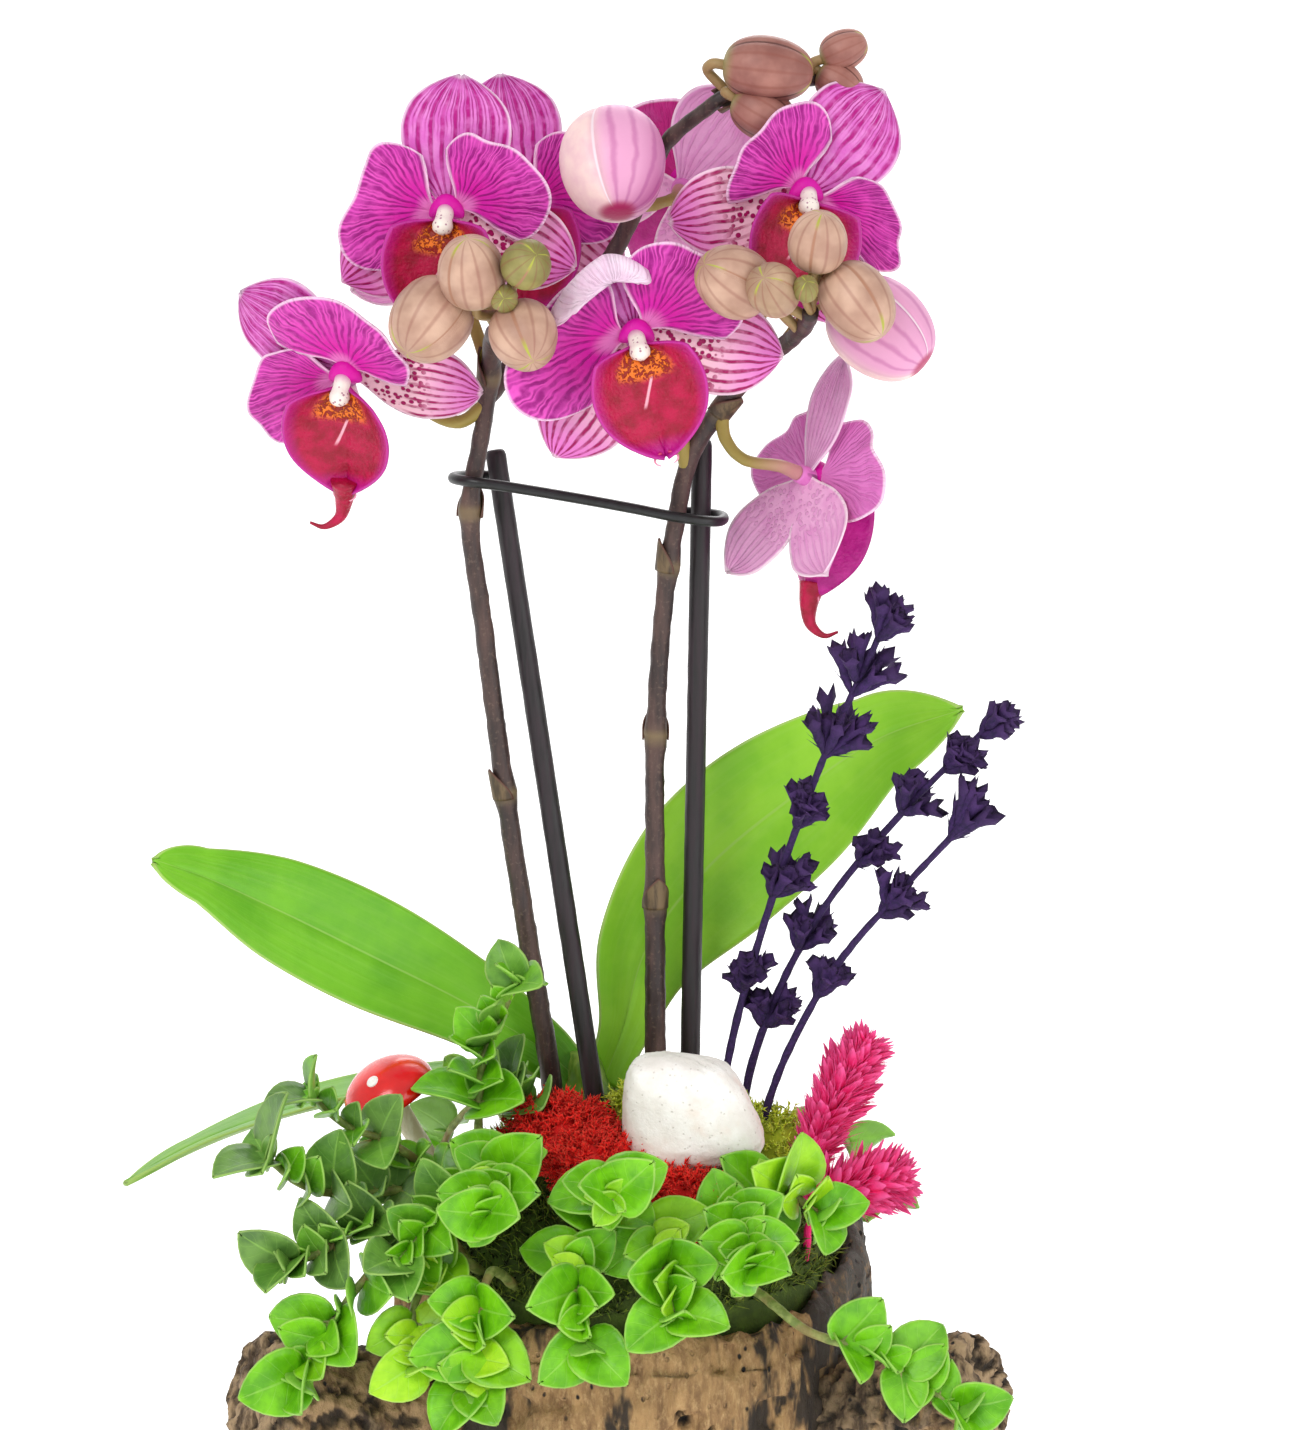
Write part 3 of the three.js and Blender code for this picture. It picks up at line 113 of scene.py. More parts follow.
class Curve:
    """A smooth curve through points, the same as the solids are made on."""

    STEPS = 200

    def __init__(self, points):
        self.points = [vec(p) for p in points]
        self.ends = np.linspace(0, 1, self.STEPS + 1)
        line = np.array([self.point(k / self.STEPS) for k in range(self.STEPS + 1)])
        steps = np.linalg.norm(np.diff(line, axis=0), axis=1)
        self.lengths = np.concatenate([[0], np.cumsum(steps)])

    def point(self, t):
        p = self.points
        last = len(p) - 1
        i = min(int(t * last), last - 1)
        w = t * last - i
        p1, p2 = p[i], p[i + 1]
        p0 = p[i - 1] if i > 0 else 2 * p[0] - p[1]
        p3 = p[i + 2] if i + 2 <= last else 2 * p[last] - p[last - 1]
        d0, d1, d2 = (((b - a) @ (b - a)) ** 0.25 for a, b in ((p0, p1), (p1, p2), (p2, p3)))
        t1 = ((p1 - p0) / d0 - (p2 - p0) / (d0 + d1) + (p2 - p1) / d1) * d1
        t2 = ((p2 - p1) / d1 - (p3 - p1) / (d1 + d2) + (p3 - p2) / d2) * d1
        square = -3 * p1 + 3 * p2 - 2 * t1 - t2
        return p1 + t1 * w + square * w * w + (2 * p1 - 2 * p2 + t1 + t2) * w**3

    def tangent(self, t):
        return unit(self.point(min(t + 1e-4, 1)) - self.point(max(t - 1e-4, 0)))

    def at(self, share):
        """The point and the way on at a share of the length."""
        t = float(np.interp(share * self.lengths[-1], self.lengths, self.ends))
        return self.point(t), self.tangent(t)


def waves(points, size, seed, octaves=3):
    """Smooth noise from about -1 to 1 at points, with swells of the given size in mm."""
    rng = np.random.default_rng(seed)
    points = np.asarray(points, float)
    total = np.zeros(points.shape[:-1])
    weight = 0
    for octave in range(octaves):
        for _ in range(6):
            way = unit(rng.normal(size=3)) * (TURN / size) * 2**octave
            total += np.sin(points @ way + rng.uniform(0, 6.28)) / 2**octave
        weight += 1.6 / 2**octave
    return total / (1.3 * weight)


# Meshes


def grid(rows, cols, closed=False):
    i, j = np.meshgrid(np.arange(rows - 1), np.arange(cols if closed else cols - 1), indexing="ij")
    a, b = i * cols + j, i * cols + (j + 1) % cols
    return np.stack([a, b, b + cols, a + cols], -1).reshape(-1, 4)


def mesh_grid(rows, cols):
    return np.meshgrid(rows, cols, indexing="ij")


class Build:
    """Gathers closed shapes in mm into one mesh. Named values are kept for each point."""

    def __init__(self):
        self.points, self.faces, self.slots, self.values, self.count = [], [], [], [], 0

    def add(self, points, faces, material, values):
        for group in faces:
            self.faces.append(np.asarray(group, np.int64) + self.count)
            self.slots.append(np.full(len(group), material))
        self.points.append(points)
        self.values.append(values)
        self.count += len(points)

    def finish(self, name, materials, node):
        mesh = bpy.data.meshes.new(name)
        points = np.concatenate(self.points) * MM
        corners = np.concatenate([f.ravel() for f in self.faces])
        sizes = np.concatenate([np.full(len(f), f.shape[1]) for f in self.faces])
        mesh.vertices.add(len(points))
        mesh.vertices.foreach_set("co", points.astype(np.float32).ravel())
        mesh.loops.add(len(corners))
        mesh.loops.foreach_set("vertex_index", corners.astype(np.int32))
        mesh.polygons.add(len(sizes))
        starts = np.concatenate([[0], np.cumsum(sizes)[:-1]])
        mesh.polygons.foreach_set("loop_start", starts.astype(np.int32))
        mesh.polygons.foreach_set("material_index", np.concatenate(self.slots).astype(np.int32))
        mesh.polygons.foreach_set("use_smooth", np.ones(len(sizes), bool))
        for key in sorted({k for values in self.values for k in values}):
            column = [v.get(key, np.zeros(len(p))) for v, p in zip(self.values, self.points)]
            attribute = mesh.attributes.new(key, "FLOAT", "POINT")
            attribute.data.foreach_set("value", np.concatenate(column).astype(np.float32))
        mesh.update(calc_edges=True)
        mesh.validate()
        for material in materials if isinstance(materials, list) else [materials]:
            mesh.materials.append(material)
        piece = bpy.data.objects.new(name, mesh)
        bpy.context.scene.collection.objects.link(piece)
        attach(piece, "root")
        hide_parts(node)


def rings(build, points, material=0, **values):
    """A closed body through rings of points (rows x sides x 3). A value is 0 where none is given."""
    points = np.asarray(points, float)
    rows, sides = points.shape[:2]
    j = np.arange(sides)
    after = (j + 1) % sides
    count, base = rows * sides, (rows - 1) * sides
    faces = [grid(rows, sides, closed=True), np.stack([np.full(sides, count), after, j], -1)]
    faces.append(np.stack([np.full(sides, count + 1), base + j, base + after], -1))
    full = {}
    for key, value in values.items():
        value = np.broadcast_to(np.asarray(value, float), (rows, sides)).reshape(-1)
        full[key] = np.concatenate([value, [value[:sides].mean(), value[-sides:].mean()]])
    middles = [points[0].mean(0), points[-1].mean(0)]
    build.add(np.concatenate([points.reshape(-1, 3), middles]), faces, material, full)


def transported(tangents):
    """Side vectors that turn as little as they can along a line."""
    start = np.cross(tangents[0], [0, 0, 1])
    if np.linalg.norm(start) < 1e-3:
        start = np.cross(tangents[0], [1, 0, 0])
    normals = [unit(start)]
    for t in tangents[1:]:
        normals.append(unit(normals[-1] - t * (normals[-1] @ t)))
    return np.array(normals)


def tube(build, route, radius, sides, steps, material=0, ripple=0.0, **values):
    """A round tube. radius is a number or a function of the share of the length and the point."""
    curve = route if isinstance(route, Curve) else Curve(route)
    shares = np.linspace(0, 1, steps + 1) if isinstance(steps, int) else steps
    middles, tangents = (np.array(x) for x in zip(*(curve.at(s) for s in shares)))
    normals = transported(tangents)
    radii = np.array([radius(s, m) if callable(radius) else radius for s, m in zip(shares, middles)])
    angle = turns(sides)
    out = spokes(normals[:, None], np.cross(tangents, normals)[:, None], angle)
    points = middles[:, None] + out * radii[:, None, None]
    if ripple:
        points += out * (ripple * waves(points, 5, 7))[..., None]
    rings(build, points, material, **{"u": shares[:, None], "v": angle / TURN, **values})


def blade(build, surface, thickness, front, material=0, **values):
    """A thin sheet with two faces round a surface (rows x cols x 3). front tells its face."""
    surface = np.asarray(surface, float)
    rows, cols = surface.shape[:2]
    normals = unit(np.cross(np.gradient(surface, axis=0), np.gradient(surface, axis=1)))
    sign = 1 if (normals.reshape(-1, 3) @ front).mean() > 0 else -1
    half = sign * normals * np.broadcast_to(np.asarray(thickness, float), (rows, cols))[..., None] / 2
    count = rows * cols
    index = np.arange(count).reshape(rows, cols)
    loop = np.concatenate([index[0, :-1], index[:-1, -1], index[-1, :0:-1], index[:0:-1, 0]])
    after = np.roll(loop, -1)
    top = grid(rows, cols)[:, ::-sign]
    rim = np.stack([loop, after, after + count, loop + count], -1)[:, ::sign]
    full = {"back": np.repeat([0.0, 1.0], count)}
    for key, value in values.items():
        value = np.broadcast_to(np.asarray(value, float), (rows, cols)).reshape(-1)
        full[key] = np.concatenate([value, value])
    points = np.concatenate([(surface + half).reshape(-1, 3), (surface - half).reshape(-1, 3)])
    build.add(points, [top, top[:, ::-1] + count, rim], material, full)


def hairs(build, roots, ways, lengths, radii, bends, steps=2, **values):
    """Many thin three-sided tapered hairs at once, each bent by its own vector."""
    count = len(roots)
    ways = unit(ways)
    radii = np.broadcast_to(radii, count)
    helper = np.where(np.abs(ways[:, 2:3]) < 0.8, [[0, 0, 1.0]], [[1.0, 0, 0]])
    side = unit(np.cross(ways, helper))
    out = spokes(side[:, None], np.cross(ways, side)[:, None], turns(3))
    shares = np.linspace(0, 1, steps + 1)[:-1]
    parts = []
    for share in shares:
        middle = roots + ways * (lengths * share)[:, None] + bends * (share * share)
        parts.append(middle[:, None] + out * (radii * (1 - 0.75 * share))[:, None, None])
    tips = (roots + ways * lengths[:, None] + bends)[:, None]
    points = np.concatenate([*parts, tips], 1)
    each = points.shape[1]
    j = np.arange(3)
    after = (j + 1) % 3
    top = 3 * (steps - 1)
    quads = [np.stack([k + j, k + after, k + 3 + after, k + 3 + j], -1) for k in range(0, top, 3)]
    tris = [np.stack([top + j, top + after, np.full(3, each - 1)], -1), [[0, 2, 1]]]
    offset = (np.arange(count) * each)[:, None, None]
    groups = [np.concatenate(g) for g in (quads, tris) if g]
    full = {"u": np.tile(np.concatenate([np.repeat(shares, 3), [1.0]]), count)}
    for key, value in values.items():
        full[key] = np.repeat(np.broadcast_to(np.asarray(value, float), count), each)
    faces = [(g + offset).reshape(-1, g.shape[1]) for g in groups]
    build.add(points.reshape(-1, 3), faces, 0, full)


# Materials


def rgb(code):
    """The linear colour of a hex code."""
    parts = [int(code[i : i + 2], 16) / 255 for i in (0, 2, 4)]
    return (*[((c + 0.055) / 1.055) ** 2.4 if c > 0.04045 else c / 12.92 for c in parts], 1.0)


class Paint:
    """A node material that is built from its colour outwards."""

    def __init__(self, name, roughness=0.5, **sockets):
        self.material = bpy.data.materials.new(name)
        self.material.use_nodes = True
        self.tree = self.material.node_tree
        self.shader = self.tree.nodes["Principled BSDF"]
        self.shader.inputs["Roughness"].default_value = roughness
        for key, value in sockets.items():
            self.shader.inputs[key.replace("_", " ")].default_value = value
        self.place = self.node("ShaderNodeTexCoord").outputs["Object"]

    def node(self, kind, inputs=None, **settings):
        made = self.tree.nodes.new(kind)
        for key, value in settings.items():
            setattr(made, key, value)
        for key, value in (inputs or {}).items():
            if isinstance(value, bpy.types.NodeSocket):
                self.tree.links.new(value, made.inputs[key])
            elif value is not None:
                made.inputs[key].default_value = value
        return made

    def read(self, names):
        """The mesh's values of these names."""
        return [self.node("ShaderNodeAttribute", attribute_name=n).outputs["Fac"] for n in names.split()]

    def noise(self, size, detail=3.0, roughness=0.55, where=None, distortion=0.0):
        """Noise from 0 to 1 with swells of size mm."""
        inputs = {"Vector": where or self.place, "Scale": 1 / (size * MM), "Detail": detail}
        inputs |= {"Roughness": roughness, "Distortion": distortion}
        return self.node("ShaderNodeTexNoise", inputs).outputs["Fac"]

    def spots(self, size, where=None):
        """The distance to the nearest of scattered points, in shares of size mm."""
        inputs = {"Vector": where or self.place, "Scale": 1 / (size * MM)}
        return self.node("ShaderNodeTexVoronoi", inputs).outputs["Distance"]

    def math(self, kind, a, b=None):
        return self.node("ShaderNodeMath", {0: a, 1: b}, operation=kind).outputs[0]

    def add(self, a, b):
        return self.math("ADD", a, b)

    def less(self, a, b):
        return self.math("SUBTRACT", a, b)

    def times(self, a, b):
        return self.math("MULTIPLY", a, b)

    def most(self, a, b):
        return self.math("MAXIMUM", a, b)

    def size(self, x):
        return self.math("ABSOLUTE", x)

    def ribs(self, x, rate):
        """0 on lines at even steps of x, 1 between them."""
        return self.size(self.math("SINE", self.times(x, rate)))

    def between(self, x, low, high, out_low=0.0, out_high=1.0):
        """x eased from low to high."""
        inputs = {"Value": x, "From Min": low, "From Max": high, "To Min": out_low, "To Max": out_high}
        return self.node("ShaderNodeMapRange", inputs, interpolation_type="SMOOTHSTEP").outputs["Result"]

    def mix(self, share, a, b):
        a, b = (rgb(x) if isinstance(x, str) else x for x in (a, b))
        return self.node("ShaderNodeMix", {0: share, 6: a, 7: b}, data_type="RGBA").outputs[2]

    def fade(self, x, low, high, a, b, most=1.0):
        """a where x is low, and up to the share most of b where it is high."""
        return self.mix(self.between(x, low, high, 0.0, most), a, b)

    def vector(self, x, y):
        return self.node("ShaderNodeCombineXYZ", {0: x, 1: y, 2: 0.0}).outputs[0]

    def stretched(self, x, y, z):
        """The place, scaled along each axis."""
        return self.node("ShaderNodeMapping", {"Vector": self.place, "Scale": (x, y, z)}).outputs[0]

    def done(self, colour, height=None, depth=0.0, rough=None):
        """The finished material, with relief of depth mm where height goes from 0 to 1."""
        relief = {"Height": height, "Distance": depth * MM, "Strength": 1.0}
        bump = self.node("ShaderNodeBump", relief).outputs[0] if height else None
        for value, key in ((colour, "Base Color"), (bump, "Normal"), (rough, "Roughness")):
            if value is not None:
                self.tree.links.new(value, self.shader.inputs[key])
        return self.material


def sheen_leaf(name):
    """Waxy plant tissue."""
    return Paint(name, 0.42, Specular_IOR_Level=0.4)


def streaked(p, size, detail, stretch, low, high, dark, light, depth):
    """Skin of two tones in upright streaks."""
    streak = p.noise(size, detail, 0.6, p.stretched(1, 1, stretch))
    return p.done(p.fade(streak, low, high, dark, light), streak, depth)


# Driftwood

POT_SHAPE = [(2, 46), (24, 50), (58, 51.5), (90, 51.5)]
RIM_HEIGHT = 98.0
RIM_DROP = 95.5
RIM_SHAPE = [
    (51.3, -6.5), (51.2, -5), (51, -3.5), (50.5, -2), (49.8, -0.6), (48.9, 0.3), (48.2, 0.6),
    (47.3, 0.3), (46.4, -0.6), (45.6, -2.2), (45.3, -6),
]
CAVITY_SHAPE = [(44.6, 70), (42, 14), (0.5, 14)]
CAVITY_RIM_RADIUS = 45.5
HOLES = 60
STUBS = [([-43, -22.8, 67], [-79, -43, 82], 13.0), ([43.8, -21.9, 68], [74, -41, 83.5], 11.5)]
STUB_TAPER = [(-0.15, 1.42), (0, 1.18), (0.3, 1.06), (0.6, 1.03), (0.94, 1)]


def driftwood_paint():
    p = Paint("driftwood", 0.85)
    rind, cut, hole = p.read("rind cut hole")
    grain = p.noise(5.0, 6.0, 0.62, p.stretched(1.6, 1.6, 0.42))
    patch = p.noise(19.0, 4.0, 0.6, p.stretched(1.5, 1.5, 0.55))
    fine = p.noise(1.1, 5.0, 0.7, p.stretched(1, 1, 0.5))
    colour = p.fade(grain, 0.32, 0.68, "7a5a38", "b28c5c")
    colour = p.fade(fine, 0.42, 0.85, colour, "caa878")
    colour = p.fade(patch, 0.49, 0.56, colour, "1e1a18", 0.94)
    colour = p.mix(p.times(rind, p.between(fine, 0.2, 0.55)), colour, "57534d")
    colour = p.mix(cut, colour, p.fade(grain, 0.38, 0.6, "4a3826", "a98e6c"))
    pores = p.between(p.spots(2.6, p.stretched(1, 1, 0.7)), 0.1, 0.22)
    colour = p.fade(p.noise(14), 0.5, 0.56, colour, p.mix(pores, "15110e", colour))
    # holes and pits painted near-black towards their middles: painted shade for the depth of a hole
    colour = p.mix(hole, colour, "0c0908")
    relief = p.add(p.times(grain, 0.7), p.add(p.times(fine, 0.5), p.times(pores, 0.3)))
    return p.done(colour, relief, 1.3, p.between(fine, 0.2, 0.8, 0.7, 0.97))


def rim_height(angle):
    bark = np.maximum(0, np.cos(angle - 0.5)) ** 4
    return RIM_HEIGHT + 2.6 * np.sin(angle) + 1.1 * np.sin(3 * angle + 1) + 6 * bark


def bark_radius(r, z, angle):
    furrows = 0.018 * np.sin(5 * angle + 0.6) + 0.014 * np.sin(9 * angle + z / 30)
    return r * (1 + furrows * np.minimum(1, z / 20))


def planter():
    build = Build()
    angle = turns(360)
    rim = rim_height(angle)
    heights = np.linspace(2, 89, 118)
    profile = [(0.5, 0, "flat"), (24, 0, "flat"), (43, 0, "wall"), (45, 0.6, "wall")]
    profile += [(r, z, "wall") for r, z in zip(eased(heights, POT_SHAPE), heights)]
    profile += [(r, z, "rim") for r, z in RIM_SHAPE] + [(r, z, "cavity") for r, z in CAVITY_SHAPE]
    rows, rind, hole = [], [], []
    rng = np.random.default_rng(11)
    holes = [(rng.uniform(0, TURN), rng.uniform(12, 86), rng.uniform(0.7, 1.8)) for _ in range(HOLES)]
    for r, z, row in profile:
        on_wall, on_rim = row == "wall", row == "rim"
        barky = on_wall or (on_rim and r > CAVITY_RIM_RADIUS)
        radius = bark_radius(r, 90 if on_rim else z, angle) if barky else r
        height = rim + z if on_rim else z + (rim - RIM_DROP) * (smooth(z, 60, 89) if on_wall else 0)
        ring = hoop(angle, radius, height)
        depth = 0 * angle
        if on_wall or (on_rim and r > 47):
            tall = ring * [1, 1, 0.28]
            grooves = 0.9 * waves(tall, 11, 3, 4) + 0.35 * waves(tall * [1, 1, 0.6], 3, 5, 2)
            chips = -1.6 * smooth(waves(ring, 15, 8, 2), 0.42, 0.8)
            for a, h, size in holes:
                gap = np.hypot(((angle - a + math.pi) % TURN - math.pi) * radius, height - h)
                depth = np.maximum(depth, 1 - smooth(gap, size * 0.6, size * 1.15))
            move = (grooves + chips) * (min(1, z / 6) if on_wall else 1) - 2.2 * depth
            ring = ring + hoop(angle, 1, 0) * move[:, None]
            if on_rim:
                ring[:, 2] += 0.9 * waves(ring, 6, 21, 2)
        rows.append(ring)
        # the hole's depth also sets the painted shade inside it
        hole.append(depth)
        side = smooth(np.cos(angle - 0.25), 0.55, 0.85)
        rind.append(side * smooth(height, 30, 70) * (on_wall or on_rim))
    rings(build, rows, rind=np.array(rind), hole=np.array(hole))
    for k, (root, end, radius) in enumerate(STUBS):
        stub(build, vec(root), vec(end), radius, 11 + 90 * k)
    build.finish("planter_wood", driftwood_paint(), "planter")


def stub(build, root, end, radius, seed):
    """A sawn branch stub, wide where it leaves the trunk and rough at its end."""
    right, up, forward = look_axes(end - root)
    length = np.linalg.norm(end - root)
    out = spokes(right, up, turns(110))
    profile = [(s, eased(s, STUB_TAPER)) for s in np.linspace(-0.15, 0.94, 46)]
    profile += [(0.96, 0.99), (0.98, 0.95), (0.992, 0.9), (1, 0.84)]
    profile += [(1, s) for s in (0.76, 0.67, 0.58, 0.49, 0.4, 0.31, 0.22, 0.13, 0.05)]
    rows, cut, hole = [], [], []
    for share, part in profile:
        ring = root + forward * (length * share) + out * (radius * part)
        rough = 0.75 * waves(ring, 8, seed, 3) + 0.4 * waves(ring, 2.8, seed + 1, 2)
        pit = smooth(waves(ring, 5, seed + 2, 2), 0.35, 0.7)
        if part > 0.9:
            ring = ring + out * (rough - 1.1 * pit)[:, None] * (1 if share < 0.95 else 0.7)
            flat = smooth(share, 0.9, 0.99)
        else:
            ring = ring + forward * (0.9 * rough - 1.4 * pit)[:, None]
            flat = 1
        rows.append(ring)
        cut.append(0.55 + 0.45 * flat + 0 * pit)
        # the pits also get painted shade inside them
        hole.append(pit * 0.85)
    rings(build, rows, cut=np.array(cut), hole=np.array(hole))


# Soil and moss

MOSS_FOOT, MOSS_RISE, MOSS_RADIUS = 95.0, 36.0, 44.6
MOSS_RINGS = [44, 43.4, 42.4, 41, 39.2, 37, 34.5, 31.8, 28.8, 25.6, 22.2, 18.6, 14.8, 10.8, 6.6, 2.2]
MOSS_HAIRS = 8600
PEBBLE_AT, PEBBLE_SIZE = vec([12.2, -22.5, 137.6]), vec([28, 20, 24])
MOSS_CLUMPS = [
    ("red",
     [([-14.5, -15, 129], [10.5, 9.5, 6.6]), ([-5.5, -26.5, 126], [11.5, 8.5, 6]),
      ([9, -35, 119.5], [13, 7, 7.4])],
     ["c40a08", "fa1c12", "ff5a40"], 5000, 580, 4.0, 0.34),
    ("lime",
     [([31, -6, 123], [9.5, 9, 7.5]), ([18, -7, 129], [10, 4.6, 5.5]), ([4, -7, 132], [8.5, 4, 5.5])],
     ["98a61e", "ccdc34", "f0fa78"], 6000, 330, 3.4, 0.32),
]


def moss_paint(name, dark, light, tip):
    p = Paint(name, 0.9)
    tone, u = p.read("tone u")
    shade = p.add(p.times(tone, 0.7), p.times(p.noise(4.0), 0.6))
    colour = p.fade(u, 0.35, 1.0, p.fade(shade, 0.25, 0.85, dark, light), tip)
    return p.done(colour, p.noise(0.6, 3), 0.25)


def soil():
    p = Paint("soil_crumb", 0.95)
    grain = p.noise(2.2, 6, 0.7)
    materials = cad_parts["soil"].data.materials
    materials.clear()
    materials.append(p.done(p.fade(grain, 0.3, 0.7, "17100b", "4b3a2a"), grain, 1.6))


def moss_height(r):
    return MOSS_FOOT + MOSS_RISE * np.sqrt(np.maximum(0, 1 - (r / MOSS_RADIUS) ** 2))


def in_pebble(points, grow):
    return (np.abs((points - PEBBLE_AT) / (PEBBLE_SIZE / 2 + grow)) ** 2.6).sum(-1) < 1


def moss_bed():
    build = Build()
    rng = np.random.default_rng(31)
    angle = turns(140)
    rows = [hoop(angle, r, z) for r, z in [(1, 89.4), (25, 89.4), (44, 89.4), (44.1, 95)]]
    for r in MOSS_RINGS:
        ring = hoop(angle, r, moss_height(r))
        ring[:, 2] += (1.4 * waves(ring, 9, 4, 3) - 0.5) * smooth(44.2 - r, 0, 3)
        rows.append(ring)
    rings(build, rows, tone=0.3)
    even = np.sqrt(rng.uniform(0, 1, MOSS_HAIRS))
    steep = np.sqrt(1 - rng.uniform(0, 1, MOSS_HAIRS) ** 2)
    r = 44 * np.where(np.arange(MOSS_HAIRS) % 2, even, steep)
    roots = hoop(rng.uniform(0, TURN, MOSS_HAIRS), r, moss_height(r) - 0.8)
    roots = roots[~in_pebble(roots, 0.6)]
    count = len(roots)
    ways = unit(unit(roots * [1, 1, 0] + [0, 0, 34]) + 0.55 * rng.normal(size=roots.shape))
    lengths = rng.uniform(2.2, 4.6, count)
    bends = rng.normal(size=roots.shape) * 0.7
    hairs(build, roots, ways, lengths, rng.uniform(0.2, 0.36, count), bends, tone=rng.uniform(0, 1, count))
    build.finish("moss_carpet", moss_paint("dark_moss", "2c3a10", "5a7020", "8e9c30"), "moss_bed")


def moss_clump(colour, lumps, shades, seed, count, reach, thick):
    """Heaped tufts of fine branching moss over lumps."""
    build = Build()
    rng = np.random.default_rng(seed)
    for k, (at, size) in enumerate(lumps):
        rows = []
        for polar in np.linspace(0.03, math.pi - 0.03, 20):
            part = hoop(turns(40), math.sin(polar), math.cos(polar))
            ring = vec(at) + part * (vec(size) * 0.94)
            rows.append(ring + part * (0.8 * waves(ring, 6, seed + k, 3))[:, None])
        rings(build, rows[::-1], tone=0.1)
        ways = unit(rng.normal(size=(count, 3)) + [0, 0, 0.35])
        roots = vec(at) + ways * vec(size) * 0.93
        shows = on_moss(roots)
        roots, ways = roots[shows], ways[shows]
        ways = unit(ways + 0.5 * rng.normal(size=ways.shape) + [0, 0, 0.15])
        n = len(roots)
        tone = rng.uniform(0, 1, n)
        length = rng.uniform(0.6, 1.15, n) * reach
        bend = rng.normal(size=roots.shape) * 0.8
        hairs(build, roots, ways, length, thick, bend, tone=tone)
        for part in (0.3, 0.5, 0.68, 0.84):
            forks = roots + ways * (length * part)[:, None] + bend * part * part
            for _ in range(2):
                side = unit(ways + 1.3 * unit(rng.normal(size=ways.shape)))
                twig = length * rng.uniform(0.28, 0.5, n)
                hairs(build, forks, side, twig, thick * 0.8, 0 * bend, steps=1, tone=tone + 0.15)
    paint = moss_paint(colour + "_dyed_moss", *shades)
    build.finish(f"moss_{colour}_tufts", paint, "moss_" + colour)


def on_moss(points):
    """Points that show: outside the pebble and above the moss bed."""
    r = np.hypot(points[:, 0], points[:, 1])
    return ~in_pebble(points, 0.8) & (points[:, 2] > moss_height(np.minimum(r, 44)) - 2)


def pebble():
    build = Build()
    angle = turns(90)

    def blunt(v):
        return np.sign(v) * np.abs(v) ** 0.64

    rows = []
    for polar in np.linspace(0.02, math.pi - 0.02, 60):
        x = blunt(np.sin(polar)) * blunt(np.cos(angle))
        y = blunt(np.sin(polar)) * blunt(np.sin(angle))
        z = blunt(np.cos(polar)) + 0 * x
        narrow = 1 - 0.16 * z - 0.1 * x * z
        part = np.stack([x * narrow, y * narrow, z * (1 - 0.1 * x)], -1)
        ring = PEBBLE_AT + part * PEBBLE_SIZE / 2
        ring[:, 0] -= 1.2 * z
        rows.append(ring + part * (0.35 * waves(ring, 14, 61, 3) + 0.1 * waves(ring, 2.5, 62, 2))[:, None])
    rings(build, rows[::-1])
    p = Paint("white_stone", 0.62)
    patch = p.noise(7.0, 5, 0.6)
    pits = p.between(p.spots(1.5), 0.08, 0.2)
    colour = p.fade(patch, 0.3, 0.7, "ece7df", "fbf9f4")
    colour = p.fade(p.noise(11, 3), 0.52, 0.72, colour, "e8ccb8", 0.5)
    colour = p.mix(p.times(p.less(1.0, pits), 0.35), colour, "b9aea2")
    relief = p.add(p.times(p.noise(0.8, 5, 0.65), 0.6), p.times(pits, 0.3))
    paint = p.done(colour, relief, 0.35, p.between(patch, 0.2, 0.8, 0.5, 0.75))
    build.finish("pebble_stone", paint, "pebble")


# Toy mushroom

MUSHROOM_FOOT, MUSHROOM_NECK = vec([-36, -5, 106]), vec([-52.1, -9, 137.2])
MUSHROOM_STALK = [MUSHROOM_FOOT, [-44.4, -7.4, 122.5], MUSHROOM_NECK]
CAP_RADIUS, CAP_HEIGHT = 10.0, 6.8
CAP_SHAPE = [
    (0.35, 0.03), (0.35, 0.25), (0.35, 0.42), (-0.5, 0.66), (-1.4, 0.82), (-1.8, 0.93), (-1.6, 1.0),
    (-0.6, 1.035), (0.8, 1.03), (2.4, 0.98), (4, 0.9), (5.6, 0.77), (7, 0.6), (7.9, 0.43), (8.45, 0.25),
    (8.6, 0.06),
]
DOT_SHAPE = [(0.1, 0.55), (0.6, 0.5), (1.1, 0.32), (1.35, 0.05), (1.4, -0.8), (0.1, -0.9)]


